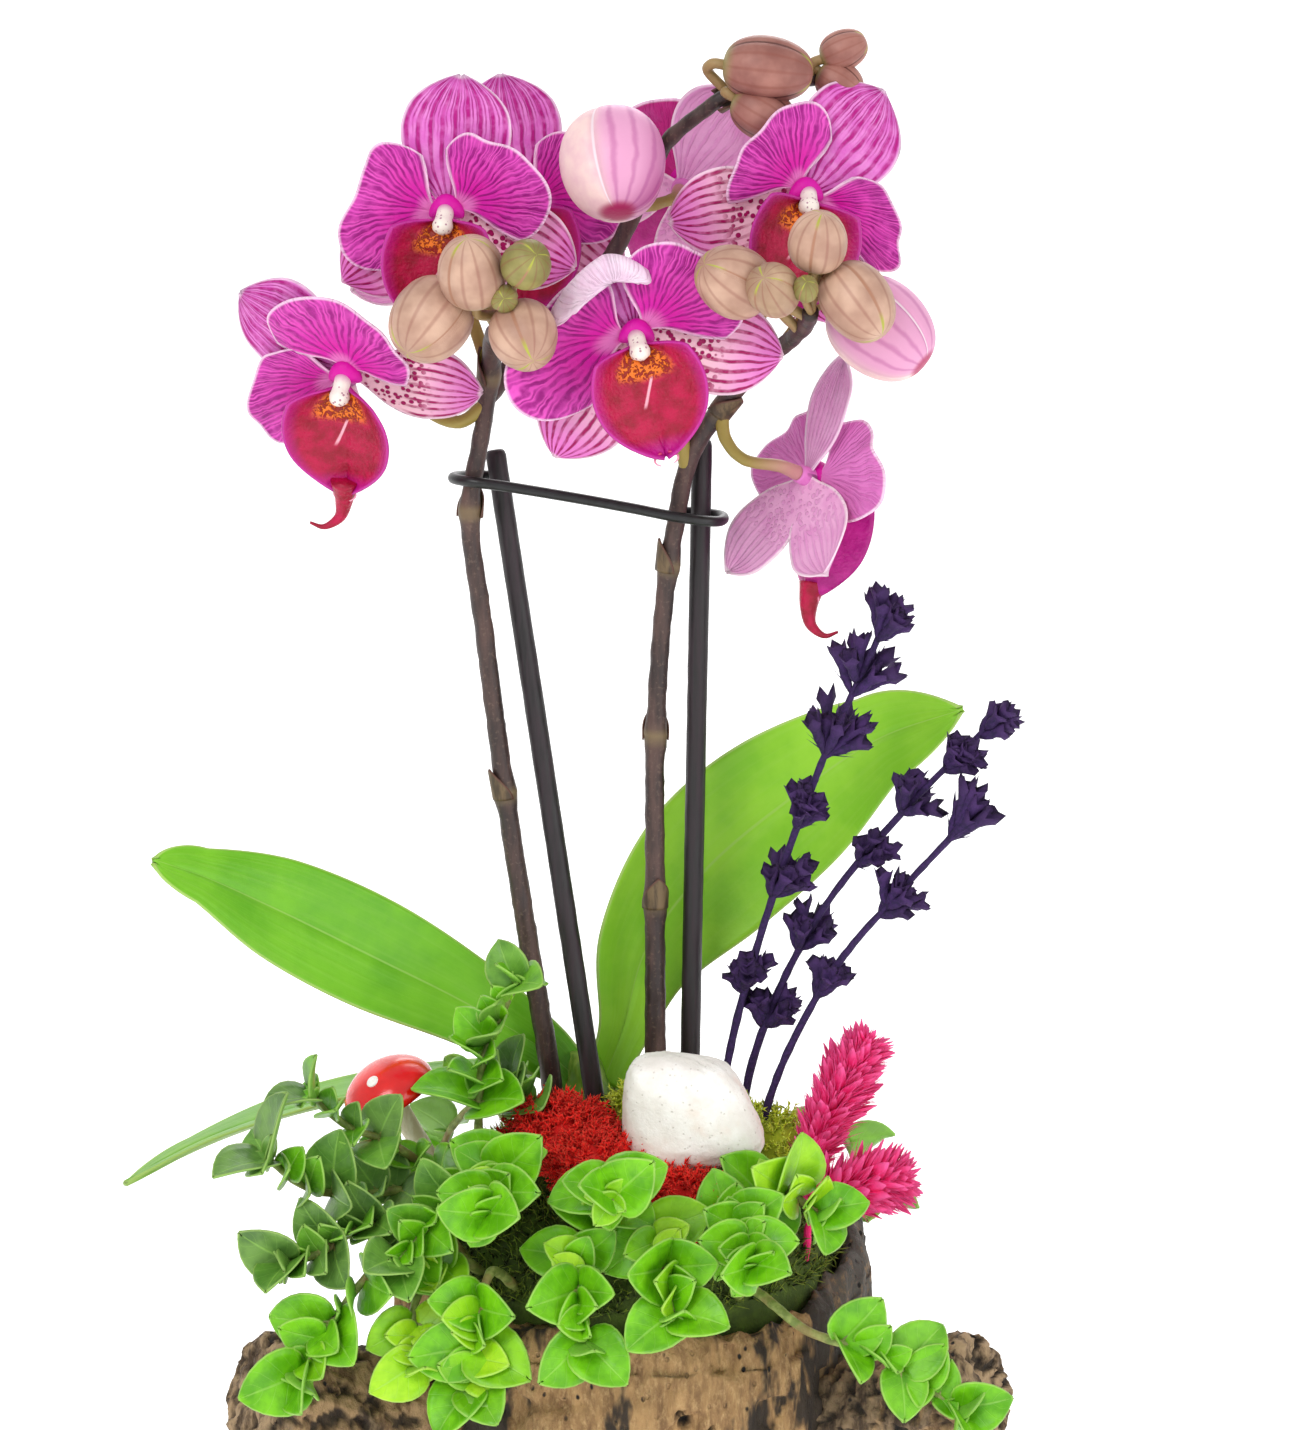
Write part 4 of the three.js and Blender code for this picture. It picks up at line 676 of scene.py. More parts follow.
def mushroom():
    build = Build()
    tube(build, MUSHROOM_STALK, 2.2, 20, 24, ripple=0.12)
    paint = streaked(Paint("mushroom_stalk", 0.55), 2.0, 4, 0.3, 0.35, 0.7, "cfc3a4", "efe8d6", 0.2)
    build.finish("mushroom_stalk", paint, "mushroom_stem")

    build = Build()
    axis = unit(MUSHROOM_NECK - MUSHROOM_FOOT)
    out = spokes(*look_axes(axis)[:2], turns(72))
    rows = []
    for height, part in CAP_SHAPE:
        rise = height * (CAP_HEIGHT / 8.6 if height > 0 else 0.8)
        rows.append(MUSHROOM_NECK + axis * rise + out * (CAP_RADIUS * part))
    rings(build, rows, u=np.linspace(0, 1, len(rows))[:, None])
    # one round white dot on the side that shows
    dot_way = unit(axis * 0.55 + vec([-0.2, -0.85, 0.12]))
    dot_out = spokes(*look_axes(dot_way)[:2], turns(24))
    foot = MUSHROOM_NECK + axis * 0.2
    rows = []
    for r, rise in DOT_SHAPE[::-1]:
        rows.append([cap_hit(foot + way * r, dot_way, axis) + dot_way * rise for way in dot_out])
    rings(build, rows, material=1)
    p = Paint("red_gloss", 0.22, Coat_Weight=0.35, Coat_Roughness=0.12)
    red = p.fade(p.noise(6.0, 3), 0.3, 0.7, "d80606", "f0140c")
    gloss = p.done(p.fade(p.read("u")[0], 0.2, 0.36, "d8cdb8", red), p.noise(0.9, 3), 0.05)
    w = Paint("white_dot", 0.35)
    white = w.done(w.fade(w.noise(0.8), 0.3, 0.7, "f0ede6", "ffffff"), w.noise(0.6), 0.08)
    build.finish("mushroom_top", [gloss, white], "mushroom_cap")


def cap_hit(point, way, axis):
    """Where a line leaves the round cap."""
    scale = np.eye(3) + np.outer(axis, axis) * (CAP_RADIUS / CAP_HEIGHT * 0.98 - 1)
    p, w = scale @ (point - MUSHROOM_NECK), scale @ way
    a, b, c = w @ w, p @ w, p @ p - CAP_RADIUS**2
    return point + way * ((-b + math.sqrt(max(b * b - a * c, 0))) / a)


# Stakes and clip

STAKES = [("stake_left", [2.9, -7.4, 60], [-28.7, 6, 274]), ("stake_right", [11.4, 3.4, 60], [15, 5, 276.4])]
CLIP_ROUTE = [
    [-26, 10.2, 267.5], [-32, 9.8, 268], [-36.6, 4.5, 268.6], [-37, -2, 269], [-33.5, -6.2, 269],
    [-27, -6.6, 268.2], [-14, -6.2, 266], [0, -5.8, 263.4], [10, -5.6, 261.4], [17.2, -3.6, 260.2],
    [19.4, 1.5, 259.8], [18.8, 7.4, 259.8], [14, 9.8, 260], [8, 8.6, 260.6],
]


def stakes_and_clip():
    p = Paint("stake_bamboo", 0.45)
    grain = p.noise(1.3, 5, 0.6, p.stretched(1, 1, 0.08))
    rough = p.between(grain, 0.2, 0.8, 0.35, 0.62)
    bamboo = p.done(p.fade(grain, 0.3, 0.75, "0e0a0c", "2b1c24"), grain, 0.18, rough)
    shares = np.concatenate([np.linspace(0, 0.994, 60), [0.998, 1.0]])
    for name, foot, top in STAKES:
        build = Build()
        foot, top = vec(foot), vec(top)
        line = [foot, foot + (top - foot) * 0.5, top]
        radius = lambda s, m: 2.15 if s < 0.995 else 1.9 if s < 0.999 else 1.5
        tube(build, line, radius, 28, shares, ripple=0.05)
        build.finish(name + "_rod", bamboo, name)
    build = Build()
    tube(build, CLIP_ROUTE, lambda s, m: 1.12 * min(1, 0.35 + 60 * min(s, 1 - s)), 16, 180)
    p = Paint("clip_wire", 0.38)
    wire = p.done(p.fade(p.noise(2.0, 3), 0.3, 0.7, "070707", "17171a"), p.noise(0.5, 3), 0.05)
    build.finish("clip_wire", wire, "clip")


# Orchid blooms: place, facing, size, angles of top, right and left sepal and lip,
# then for the right and the left petal its fan and how far its edge is at even steps round it

HIDDEN_RIGHT, HIDDEN_LEFT = [16, 21.5, 22, 20, 19, 18.5, 14], [14, 18.5, 19, 20, 23.5, 22, 16]
BLOOMS = [
    ("front_left", [-37, -14, 325.3], [-8, -6], 1, [84, -25, -147, -92],
     ([-23, 93], [17, 21, 21.9, 20.5, 18.3, 17.7, 14.5]),
     ([109, 234], [14, 19.5, 19.7, 19.2, 23.6, 21.8, 15.5])),
    ("behind_left", [-23.6, 20, 324.5], [8, 4], 1, [97, -38, -150, -90],
     ([-38, 78], HIDDEN_RIGHT), ([110, 226], HIDDEN_LEFT)),
    ("low_left", [-58.3, -9, 291.8], [-18, -28], 1, [142, -12, -125, -95],
     ([-12, 158], [14.5, 15, 15.8, 18.5, 21, 21.5, 18]), ([140, 240], [11, 16, 19.5, 22.5, 26, 25.5, 19])),
    ("centre", [1.2, -25, 301.3], [4, -8], 1.1, [112, -10, -122, -76],
     ([-4, 108], [18, 20.5, 19.9, 20, 19.2, 17.4, 13]), ([112, 242], [13, 15.2, 17.5, 20.2, 26, 24, 16.5])),
    ("front_right", [35.5, -8, 328.1], [12, 0], 1, [50, -72, 190, -106],
     ([-50, 26], [22, 24.5, 22, 19.8, 17.4, 15, 11]), ([60, 187], [14, 19.5, 18.9, 17.2, 16.5, 16.8, 17.5])),
    ("hanging", [37.6, 0.5, 268.8], [128, -22], 0.96, [97, -62, -132, -90],
     ([-30, 88], [15.5, 20.5, 21.5, 19.5, 18.5, 18, 13.5]),
     ([102, 218], [13.5, 18, 18.5, 19.5, 22.5, 21, 15.5])),
    ("back_top", [11, 27, 328], [168, 14], 1, [128, -2, -98, -53],
     ([-6, 110], HIDDEN_RIGHT), ([144, 260], HIDDEN_LEFT)),
    ("back_left", [-40, 37, 320], [-150, 6], 1, [102, -30, -142, -88],
     ([-32, 84], HIDDEN_RIGHT), ([114, 230], HIDDEN_LEFT)),
]
DORSAL_LENGTH, DORSAL_WIDTH = 26.2, 22.0
SEPAL_LENGTH, SEPAL_WIDTH = 26.5, 17.5
SEPAL_SHAPE = [
    (0, 0.1), (0.12, 0.34), (0.3, 0.76), (0.5, 1.0), (0.68, 1.02), (0.84, 0.86), (0.95, 0.56), (1.02, 0.24),
    (1.05, 0.04),
]
FOLDED_SHAPE = [
    (0, 0.1), (0.1, 0.4), (0.22, 0.8), (0.4, 1.12), (0.58, 1.2), (0.76, 1.12), (0.88, 0.84), (0.96, 0.42),
    (0.98, 0.04),
]
FOLD_RATE, FOLD_TURN = 7.5, 2.3
CLAW_OPENING = [(0, 0.3), (0.15, 0.48), (0.3, 0.66), (0.5, 0.86), (0.72, 0.97), (1, 1)]
CLAW = 0.8
LIP_SHAPE = [
    (0, 2), (0.08, 5.8), (0.2, 9.5), (0.33, 11.5), (0.46, 12.3), (0.6, 12.0), (0.76, 10.2), (0.88, 7.4),
    (0.97, 4.3), (1.03, 1.8), (1.055, 0.4),
]
COLUMN_SHAPE = [(0, 1.9), (0.3, 1.75), (0.55, 1.8), (0.78, 2.1), (0.93, 1.5), (1, 0.5)]
BLOOM_BACK = 3.6


def bloom_placer(at, facing):
    """Turns a bloom's own coordinates (right, up, forward) into the model's."""
    azimuth, rise = (math.radians(a) for a in facing)
    forward = [math.sin(azimuth) * math.cos(rise), -math.cos(azimuth) * math.cos(rise), math.sin(rise)]
    right, up, forward = look_axes(forward)

    def place(a, b, c):
        a, b, c = np.broadcast_arrays(*(np.asarray(x, float)[..., None] for x in (a, b, c)))
        return vec(at) + a * right + b * up + c * forward

    return place, forward


def veins_paint(kind):
    """Petal tissue. u runs from the heart to the edge, v across, edge is mm from the margin."""
    p = Paint("petal_" + kind, 0.5, Specular_IOR_Level=0.25)
    u, v, edge, back, tone = p.read("u v edge back tone")
    fan = p.add(v, p.times(p.less(p.noise(6.0, 2), 0.5), 0.22 if kind == "petal" else 0.14))
    uneven = p.between(p.noise(2.6, 3), 0.3, 0.62, 0.45, 1.0)
    cloud = p.noise(3.0, 3)

    def lines(count, width, start, end, soft, most=1.0):
        line = p.between(p.ribs(fan, math.pi * count), width, width * soft, 0.0, most)
        return p.times(line, p.between(u, start, end))

    if kind == "petal":
        veins = p.most(lines(5.5, 0.6, 0.16, 0.4, 0.3), lines(11, 0.74, 0.4, 0.62, 0.3))
        veins = p.times(p.most(veins, lines(22, 0.8, 0.66, 0.86, 0.25, 0.8)), uneven)
        base = p.fade(u, 0.3, 1.0, "cc0a98", "de52ba")
        base = p.fade(cloud, 0.35, 0.7, base, "bc149e", 0.35)
        pale = p.times(p.between(u, 0.34, 0.2, 0.0, 0.4), p.between(u, 0.06, 0.16))
        base = p.mix(pale, base, "e6a6d6")
        vein_colour, strength, margin = "8e0074", 0.95, "f2cce6"
        behind = p.mix(p.times(veins, 0.35), "dc7cc4", "b8409c")
        # petals with tone 1 (the back_top bloom) get deep crimson backs: the front's magenta darkened with
        # painted shade
        behind = p.mix(p.times(tone, 0.9), behind, "b80a74")
    elif kind == "dorsal":
        veins = p.most(lines(4.5, 0.72, 0.0, 0.1, 0.4), lines(13, 0.72, 0.45, 0.75, 0.25, 0.85))
        veins = p.times(veins, uneven)
        base = p.fade(cloud, 0.3, 0.7, "d060ba", "dc80ca")
        vein_colour, strength, margin = "a80478", 1.0, "f2d0e8"
        behind = p.mix(p.times(veins, 0.3), "e4a8d4", "cc6cb8")
        behind = p.mix(p.times(tone, 0.8), behind, "faeaf6")
    else:
        dots = p.times(p.between(p.spots(1.35), 0.46, 0.36), p.between(u, 0.66, 0.52))
        dots = p.times(dots, p.between(u, 0.06, 0.14))
        veins = p.most(p.times(lines(4.5, 0.74, 0.36, 0.52, 0.4), uneven), dots)
        base = p.fade(u, 0.4, 0.95, "f0c4d0", "da70c0")
        vein_colour, strength, margin = "9c0656", 1.0, "f2d4e4"
        behind = p.mix(p.times(veins, 0.3), "e6a8d2", "c86cb4")
    colour = p.mix(p.times(veins, strength), base, vein_colour)
    colour = p.fade(edge, 0.8, 0.15, colour, margin, 0.9)
    behind = p.fade(p.noise(6.0, 3), 0.4, 0.7, behind, "d070b8", 0.3)
    behind = p.fade(edge, 0.8, 0.25, behind, margin)
    relief = p.add(p.times(veins, 0.7), p.times(p.noise(0.7, 3), 0.5))
    rough = p.between(p.noise(1.0, 2), 0.2, 0.8, 0.42, 0.6)
    return p.done(p.mix(back, colour, behind), relief, 0.3, rough)


def lip_paint():
    p = Paint("lip_velvet", 0.4, Specular_IOR_Level=0.35)
    u, v, edge, back = p.read("u v edge back")
    far = p.size(v)
    inner = p.fade(p.noise(3.0, 3), 0.3, 0.7, "8e0026", "b20040")
    inner = p.fade(far, 0.72, 1.02, inner, "b00a76")
    inner = p.fade(u, 0.84, 1.02, inner, "b20c80")
    callus = p.times(p.between(u, 0.37, 0.27), p.between(far, 0.66, 0.42))
    marks = p.between(p.noise(1.1, 2, 0.6, distortion=1.2), 0.47, 0.55)
    inner = p.mix(callus, inner, p.mix(marks, "e8741a", "8e1a0c"))
    line = p.between(p.size(p.add(v, p.times(p.less(u, 0.42), 0.9))), 0.04, 0.014)
    line = p.times(line, p.times(p.between(u, 0.3, 0.34), p.between(u, 0.6, 0.54)))
    inner = p.mix(line, inner, "eaa8b8")
    inner = p.fade(edge, 0.5, 0.2, inner, "bc2c94")
    outer = p.fade(p.noise(4.0, 3), 0.3, 0.7, "a60a7a", "c0248f")
    return p.done(p.mix(back, inner, outer), p.add(p.noise(0.8, 3), p.times(callus, marks)), 0.3)


def column_paint():
    p = Paint("column_wax", 0.4)
    u = p.read("u")[0]
    spots = p.times(p.between(p.spots(1.0), 0.3, 0.2), p.between(u, 0.3, 0.6))
    return p.done(p.mix(spots, p.fade(u, 0.1, 0.45, "b81094", "ece2d8"), "a8788a"), p.noise(0.8), 0.1)


def tendril_paint():
    p = Paint("tendril", 0.4)
    return p.done(p.fade(p.read("u")[0], 0.0, 1.0, "c02060", "f0a8c0"))


def sepal(build, place, front, angle, length, width, material, folded=False):
    turn = math.radians(angle)
    reach = 0.98 if folded else 1.05
    s = np.linspace(0, 1, 28)
    s = reach * (s - 0.02 * np.sin(TURN * s))
    s[0] = 0.02
    half = width / 2 * eased(s, FOLDED_SHAPE if folded else SEPAL_SHAPE)
    sway = 6 * draw(round(angle * 7 + length * 3))
    S, A = mesh_grid(s, np.linspace(-1, 1, 21))
    H = half[:, None] + 0 * A
    u, v = length * S, H * A
    c = -1.1 - 2.2 * S * S - 0.9 * A * A * S + 0.5 * A**2 * np.sin(9 * S + sway) * smooth(S, 0.2, 0.9)
    if folded:
        start = 0.5 - 0.16 * (v / (0.6 * width)) ** 2
        past = np.maximum(0, S - start)
        bend = np.minimum(FOLD_RATE * past, FOLD_TURN)
        rest = np.maximum(0, past - FOLD_TURN / FOLD_RATE)
        ahead = length * (start + np.sin(bend) / FOLD_RATE + rest * math.cos(FOLD_TURN))
        out = length * ((1 - np.cos(bend)) / FOLD_RATE + rest * math.sin(FOLD_TURN))
        u = np.where(past > 0, ahead, u)
        c = np.where(past > 0, c + out, c)
        v = v * np.where(A < 0, 0.5, 1.0)
        u = u - 0.16 * np.abs(v) * smooth(S, 0.2, 0.5)
    else:
        c += 0.5 * (1 - np.abs(A)) ** 3 * S
    points = place(u * math.cos(turn) - v * math.sin(turn), u * math.sin(turn) + v * math.cos(turn), c)
    edge = np.minimum(H * (1 - np.abs(A)), length * (reach - S) * 0.8)
    thick = 0.62 - 0.3 * smooth(np.abs(A), 0.7, 1)
    blade(build, points, thick, front, material, u=S / reach, v=A, edge=edge, tone=float(folded))


def petal(build, place, front, fan, reach, size, before, seed, tone):
    """A broad petal from a narrow claw. reach is how far its edge is at even steps round the fan."""
    start, end = (math.radians(a) for a in fan)
    turn, spread = (start + end) / 2, (end - start) / 2
    S, J = mesh_grid(np.linspace(0.03, 1, 30) ** 0.9, np.linspace(-1, 1, 49))
    off = spread * J * eased(S, CLAW_OPENING)
    table = list(zip(np.linspace(-1, 1, len(reach)), reach))
    lobe = (1 - 0.07 * np.abs(J) ** 7) * (1 + 0.015 * np.sin(11 * J + 6 * draw(seed + 1)))
    out = (size * eased(J, table) * lobe - CLAW) * S
    a = CLAW * math.cos(turn) + out * np.cos(turn + off)
    b = CLAW * math.sin(turn) + out * np.sin(turn + off)
    wave = 1.5 * S * (1 - S) + 1.1 * S * S * np.cos(1.7 * off) + 0.35 * S * np.sin(3 * off)
    ruffle = 0.6 * np.sin(7 * J + 6 * draw(seed + 2)) + 0.35 * np.sin(15 * J + 6 * draw(seed + 3))
    groove = 0.35 * bell(J, 0.12) * smooth(S, 0.05, 0.3) * smooth(1 - S, 0.1, 0.5)
    c = 0.5 + before * np.minimum(1, 2 * S) + wave + S**4 * ruffle - groove
    edge = np.minimum(out / S * (1 - S), out * (1 - np.abs(J)) * spread * 0.9 + 0.3 * (1 - S))
    thick = 0.62 - 0.3 * smooth(np.maximum(S, np.abs(J)), 0.85, 1)
    blade(build, place(a, b, c), thick, front, u=S, v=J, edge=edge, tone=tone)


def hood(build, place):
    """The swollen magenta bases of the petals, over the column."""
    angle = turns(24)
    rows = []
    for polar in np.linspace(0.05, math.pi - 0.05, 16):
        a = 3.7 * math.sin(polar) * np.cos(angle)
        b = 1.7 + 2.5 * math.sin(polar) * np.sin(angle) - 0.12 * a * a
        rows.append(place(a, b, 1.5 + 2.0 * math.cos(polar)))
    rings(build, rows[::-1], u=0.03, edge=5.0)


def tepals(paints, name, at, facing, size, angles, right, left):
    build = Build()
    place, front = bloom_placer(at, facing)
    heart = [place(0, 0, -BLOOM_BACK), place(0, 0, -1.2), place(0, 0, 1.1)]
    tube(build, heart, lambda s, m: 1.9 + 0.5 * s, 20, 8, edge=5.0, back=1.0)
    hood(build, place)
    width = size * DORSAL_WIDTH * (0.56 if name == "hanging" else 1)
    sepal(build, place, front, angles[0], size * DORSAL_LENGTH, width, 1, name == "centre")
    for angle in angles[1:3]:
        sepal(build, place, front, angle, size * SEPAL_LENGTH, size * SEPAL_WIDTH, 2)
    # tone 1 paints the back_top bloom's petal backs darker: painted shade
    tone = 1.0 if name == "back_top" else 0.0
    petal(build, place, front, *right, size, 0.9, 41 + int(at[0]), tone)
    petal(build, place, front, *left, size, 0.0, 87 + int(at[0]), tone)
    build.finish(f"tepals_{name}_petals", paints[:3], "tepals_" + name)


def lip(paints, name, at, facing, angles):
    build = Build()
    face, front = bloom_placer(at, facing)
    turn = math.radians(angles[3] + 90)

    def place(a, b, c):
        return face(a * math.cos(turn) - b * math.sin(turn), a * math.sin(turn) + b * math.cos(turn), c)

    S, J = mesh_grid(1.055 * np.linspace(0, 1, 30), np.linspace(-1, 1, 27))
    half = eased(S, LIP_SHAPE)
    ahead = np.maximum(0, 1 - S)
    rise = J * J * ahead * np.minimum(1, 4 * S)
    a = half * J * (1 - 0.12 * J * J * ahead)
    c = 2.6 + 10.5 * S - 5 * S * S + 5.6 * rise + 2.0 * J * J
    c += 0.35 * np.sin(7 * S + 2) * J * J + 0.6 * smooth(S, 0.85, 1.05)
    c -= 0.7 * bell(J, 0.1) * smooth(S, 0.3, 0.5)
    callus = np.exp(-((S - 0.17) ** 2) / 0.008) * bell(J, 0.3)
    c += callus * (1.3 + 0.5 * np.cos(26 * J) * np.cos(40 * S))
    thick = 0.7 - 0.3 * smooth(np.abs(J), 0.8, 1)
    surface = place(a, -0.6 - 21.5 * S + 6.5 * rise, c)
    blade(build, surface, thick, front, u=S, v=J, edge=half * (1 - np.abs(J)))
    column = [place(0, b, c) for b, c in [(1.4, 1.2), (0.5, 3.2), (-1.0, 5.2), (-2.4, 6.6), (-3.2, 7.0)]]
    tube(build, column, lambda s, m: eased(s, COLUMN_SHAPE), 20, 22, material=1)
    for side in (-1, 1):
        tendril = []
        for t in np.linspace(0, 1, 9):
            r, around = 2.0 * (1 - 0.75 * t), 3.4 * t
            across = side * (0.7 + r * math.sin(around) + 0.8 * t)
            down = -22.2 - 1.6 * t - 0.5 * r * (1 - math.cos(around))
            tendril.append(place(across, down, 9.4 + 1.7 * t))
        tube(build, tendril, lambda s, m: 0.34 * (1 - 0.6 * s), 7, 20, material=2)
    if name in ("low_left", "hanging"):
        hook = [(0, -20.5, 9.4), (-0.5, -25.5, 9.8), (-1.5, -29, 11), (-4.5, -30.5, 13), (-7, -29, 14)]
        hook = [place(*p) for p in hook]
        tube(build, hook, lambda s, m: 2.6 * (1 - s) ** 1.3 + 0.3, 12, 24, u=0.8, v=0.4, edge=2.0)
    build.finish(f"lip_{name}_cup", paints[3:], "lip_" + name)


def blooms():
    paints = [veins_paint(kind) for kind in ("petal", "dorsal", "sepal")]
    paints += [lip_paint(), column_paint(), tendril_paint()]
    for name, at, facing, size, angles, right, left in BLOOMS:
        tepals(paints, name, at, facing, size, angles, right, left)
        lip(paints, name, at, facing, angles)


# Flower spikes

SPIKE_RADIUS, PEDICEL_RADIUS, SHEATH_LENGTH = 2.3, 1.35, 7
OPENING_BUDS = {
    "opening_bud_top": ([-3.4, -12, 334.9], [0.08, -0.6, -0.8], 23.5, 21),
    "opening_bud_right": ([51, -18, 302], [0.75, -0.3, -0.6], 23, 19),
}
# stem, heights of its joints, side branch, stalks to their blooms, and closed buds
# with place, way of the tip, length and width, start of the stalk and tone
SPIKES = {
    "spike_left": (
        [[-16.4, 2, 108], [-17.2, 2, 133], [-22.6, 1, 170], [-27, 0, 201.6], [-31, -1, 236],
         [-33.8, -2, 262], [-31.2, -2.5, 278], [-29.2, -4, 290.5], [-28.4, -12, 299.5], [-26, -24, 303.5],
         [-24.3, -34, 308]],
        [201, 262, 291],
        [[-30, -2.5, 286], [-24, 3, 293.5], [-14, 8.5, 302], [-5, 11, 313], [2, 11, 326], [7.1, 8, 337.6],
         [14, 4.5, 344], [21.5, 2, 349], [30, 2, 350], [38.5, 3, 351.5]],
        [("front_left", [[-29, -5, 291.5], [-33.5, -2, 304], [-37, 0, 315]]),
         ("low_left", [[-29.8, -3, 285], [-36, -2.5, 281], [-46, 2, 285], [-52.5, 3, 291.5]]),
         ("behind_left", [[-18, 6.5, 298.5], [-21, 19, 301], [-24, 28.5, 312]]),
         ("back_left", [[-25, 2, 292.5], [-28, 14, 298], [-33, 25, 306]]),
         ("back_top", [[2, 11, 325], [4.5, 13.5, 324.8], [7, 16, 325.3]]),
         ("opening_bud_top", [[1.5, 11, 325], [-1, 9.5, 334], [-3.5, 5, 343]])],
        [([-39.9, -32, 305.4], [-0.45, -0.45, -0.6], [17.5, 15.5], [-26, -25, 304], 0.5),
         ([-31.2, -38, 315.5], [-0.1, -0.4, 0.9], [15, 12.8], [-25, -30, 306.3], 0.45),
         ([-20.2, -42.5, 317.5], [0.35, -0.8, 0.4], [10.5, 9.4], [-24.4, -33, 307.6], 0.1),
         ([-21, -37, 302.8], [0.25, -0.75, -0.6], [14.5, 13], [-25.6, -27, 304.8], 0.4),
         ([-24.8, -39.5, 310.4], [0, -0.9, 0.1], [6, 5.4], [-24.3, -34, 307.9], 0.0),
         ([28.1, -3.5, 353.6], [0.95, -0.1, -0.1], [18.5, 13], [20.5, 2, 348.4], 0.95),
         ([27.3, -3, 344.6], [0.8, -0.15, -0.45], [14, 10.5], [20.5, 2, 348], 0.95),
         ([43.8, 1.5, 357.4], [0.9, -0.1, 0.4], [10, 8], [37, 2.8, 351.3], 0.9),
         ([43, 1.5, 350.6], [0.8, -0.2, -0.45], [10, 8.6], [36, 2.6, 351], 0.9)],
    ),
    "spike_right": (
        [[4.9, 3, 106], [5.1, 3, 142], [5.1, 3, 178], [5.2, 3, 213], [6.8, 2, 240], [9.2, 0.5, 258],
         [12.4, 0, 273], [18.5, -3, 283.5], [24.8, -9, 291.8], [30.5, -13, 297.5], [34.8, -22, 302.5],
         [36.2, -32, 307]],
        [176, 213, 250, 284],
        None,
        [("centre", [[11.6, 0, 271], [9.5, -4, 284], [4.5, -11, 294]]),
         ("front_right", [[23.5, -8, 290.5], [27, -0.5, 303], [30.5, 3.5, 316]]),
         ("hanging", [[19, -3.4, 284.3], [19.6, -4.2, 278], [23.4, -5.2, 273.6]]),
         ("opening_bud_right", [[31.8, -15, 299], [35, -14.5, 303.5], [38.4, -15.4, 307]])],
        [([20.5, -35, 313.4], [-0.55, -0.35, 0.35], [16, 13.6], [34.4, -21, 302], 0.5),
         ([28.2, -39.5, 312.2], [-0.25, -0.7, 0.35], [13.5, 10], [35.8, -28.5, 305.4], 0.3),
         ([37.2, -37, 321.4], [0.1, -0.35, 0.9], [12.5, 11.2], [36.1, -31, 306.5], 0.45),
         ([45.2, -35, 309.2], [0.45, -0.35, -0.6], [17, 13.4], [35.2, -24.5, 303.6], 0.6),
         ([34.6, -41.5, 312.6], [0, -0.8, 0.5], [6, 5], [36.1, -31.8, 306.9], 0.0)],
    ),
}
BRANCH_SHEATHS = [(0.3, 1), (0.62, 2.6), (0.8, -0.6)]


def stem_paint():
    p = Paint("spike_stem", 0.5)
    joint, olive, pink = p.read("joint olive pink")
    streak = p.noise(3.0, 5, 0.6, p.stretched(1, 1, 0.18))
    speck = p.noise(0.9, 3)
    colour = p.fade(streak, 0.35, 0.72, "2a1c1a", "57403a")
    colour = p.fade(speck, 0.55, 0.7, colour, "6f5a4c", 0.4)
    colour = p.mix(joint, colour, "7c6a48")
    colour = p.mix(olive, colour, p.mix(pink, "9c8a3c", "c98f8c"))
    return p.done(colour, p.add(streak, p.times(speck, 0.4)), 0.22, p.between(streak, 0.3, 0.7, 0.4, 0.62))


def sheath_paint():
    p = Paint("sheath_skin", 0.55)
    streak = p.noise(1.4, 4, 0.6, p.stretched(1, 1, 0.2))
    colour = p.fade(streak, 0.35, 0.7, "3e3020", "6e5a3c")
    return p.done(p.fade(p.read("edge")[0], 0.6, 0.2, colour, "5a3a2c"), streak, 0.15)


def bud_paint():
    """Closed buds. tone is 0 for a young green bud, about 0.5 for beige, 1 for brownish pink."""
    p = Paint("bud_skin", 0.48, Specular_IOR_Level=0.35)
    u, v, tone = p.read("u v tone")
    mottle = p.noise(7.0, 3, 0.5)
    green, beige, brown = (
        p.fade(mottle, 0.3, 0.75, dark, light)
        for dark, light in (("78703c", "9c9458"), ("a88270", "cca892"), ("86544c", "ac786c"))
    )
    colour = p.fade(tone, 0.6, 0.9, p.fade(tone, 0.1, 0.4, green, beige), brown)
    seam, rib = p.ribs(v, 3 * math.pi), p.ribs(v, 12 * math.pi)
    colour = p.fade(rib, 0.5, 0.08, colour, "84483c", 0.4)
    colour = p.fade(seam, 0.12, 0.03, colour, p.fade(tone, 0.6, 0.9, "a8785e", "4e2a28"), 0.8)
    colour = p.mix(p.times(p.between(seam, 0.2, 0.08), p.between(u, 0.82, 0.97)), colour, "a8ac40")
    colour = p.fade(u, 0.16, 0.0, colour, "8f8450")
    return p.done(colour, p.add(p.times(mottle, 0.5), p.times(p.noise(0.7), 0.3)), 0.2)


def opening_paint():
    p = Paint("opening_bud_skin", 0.45, Specular_IOR_Level=0.35)
    u, v, tone = p.read("u v tone")
    soft = p.noise(5.0, 3)
    streak = p.ribs(p.add(v, p.times(p.noise(5), 0.03)), 14 * math.pi)
    pink = p.fade(streak, 0.7, 0.1, p.fade(v, 0.0, 0.22, "c060a0", "dc9cc0"), "a8408a", 0.45)
    colour = p.mix(tone, p.fade(soft, 0.3, 0.7, "e4bcc2", "f0d2cc"), pink)
    colour = p.fade(p.ribs(v, 3 * math.pi), 0.06, 0.02, colour, "f0dce4")
    colour = p.fade(u, 0.965, 0.995, colour, "a81458")
    colour = p.fade(u, 0.16, 0.0, colour, "b8908a")
    return p.done(colour, p.add(p.times(soft, 0.4), p.times(p.noise(0.8), 0.3)), 0.2)


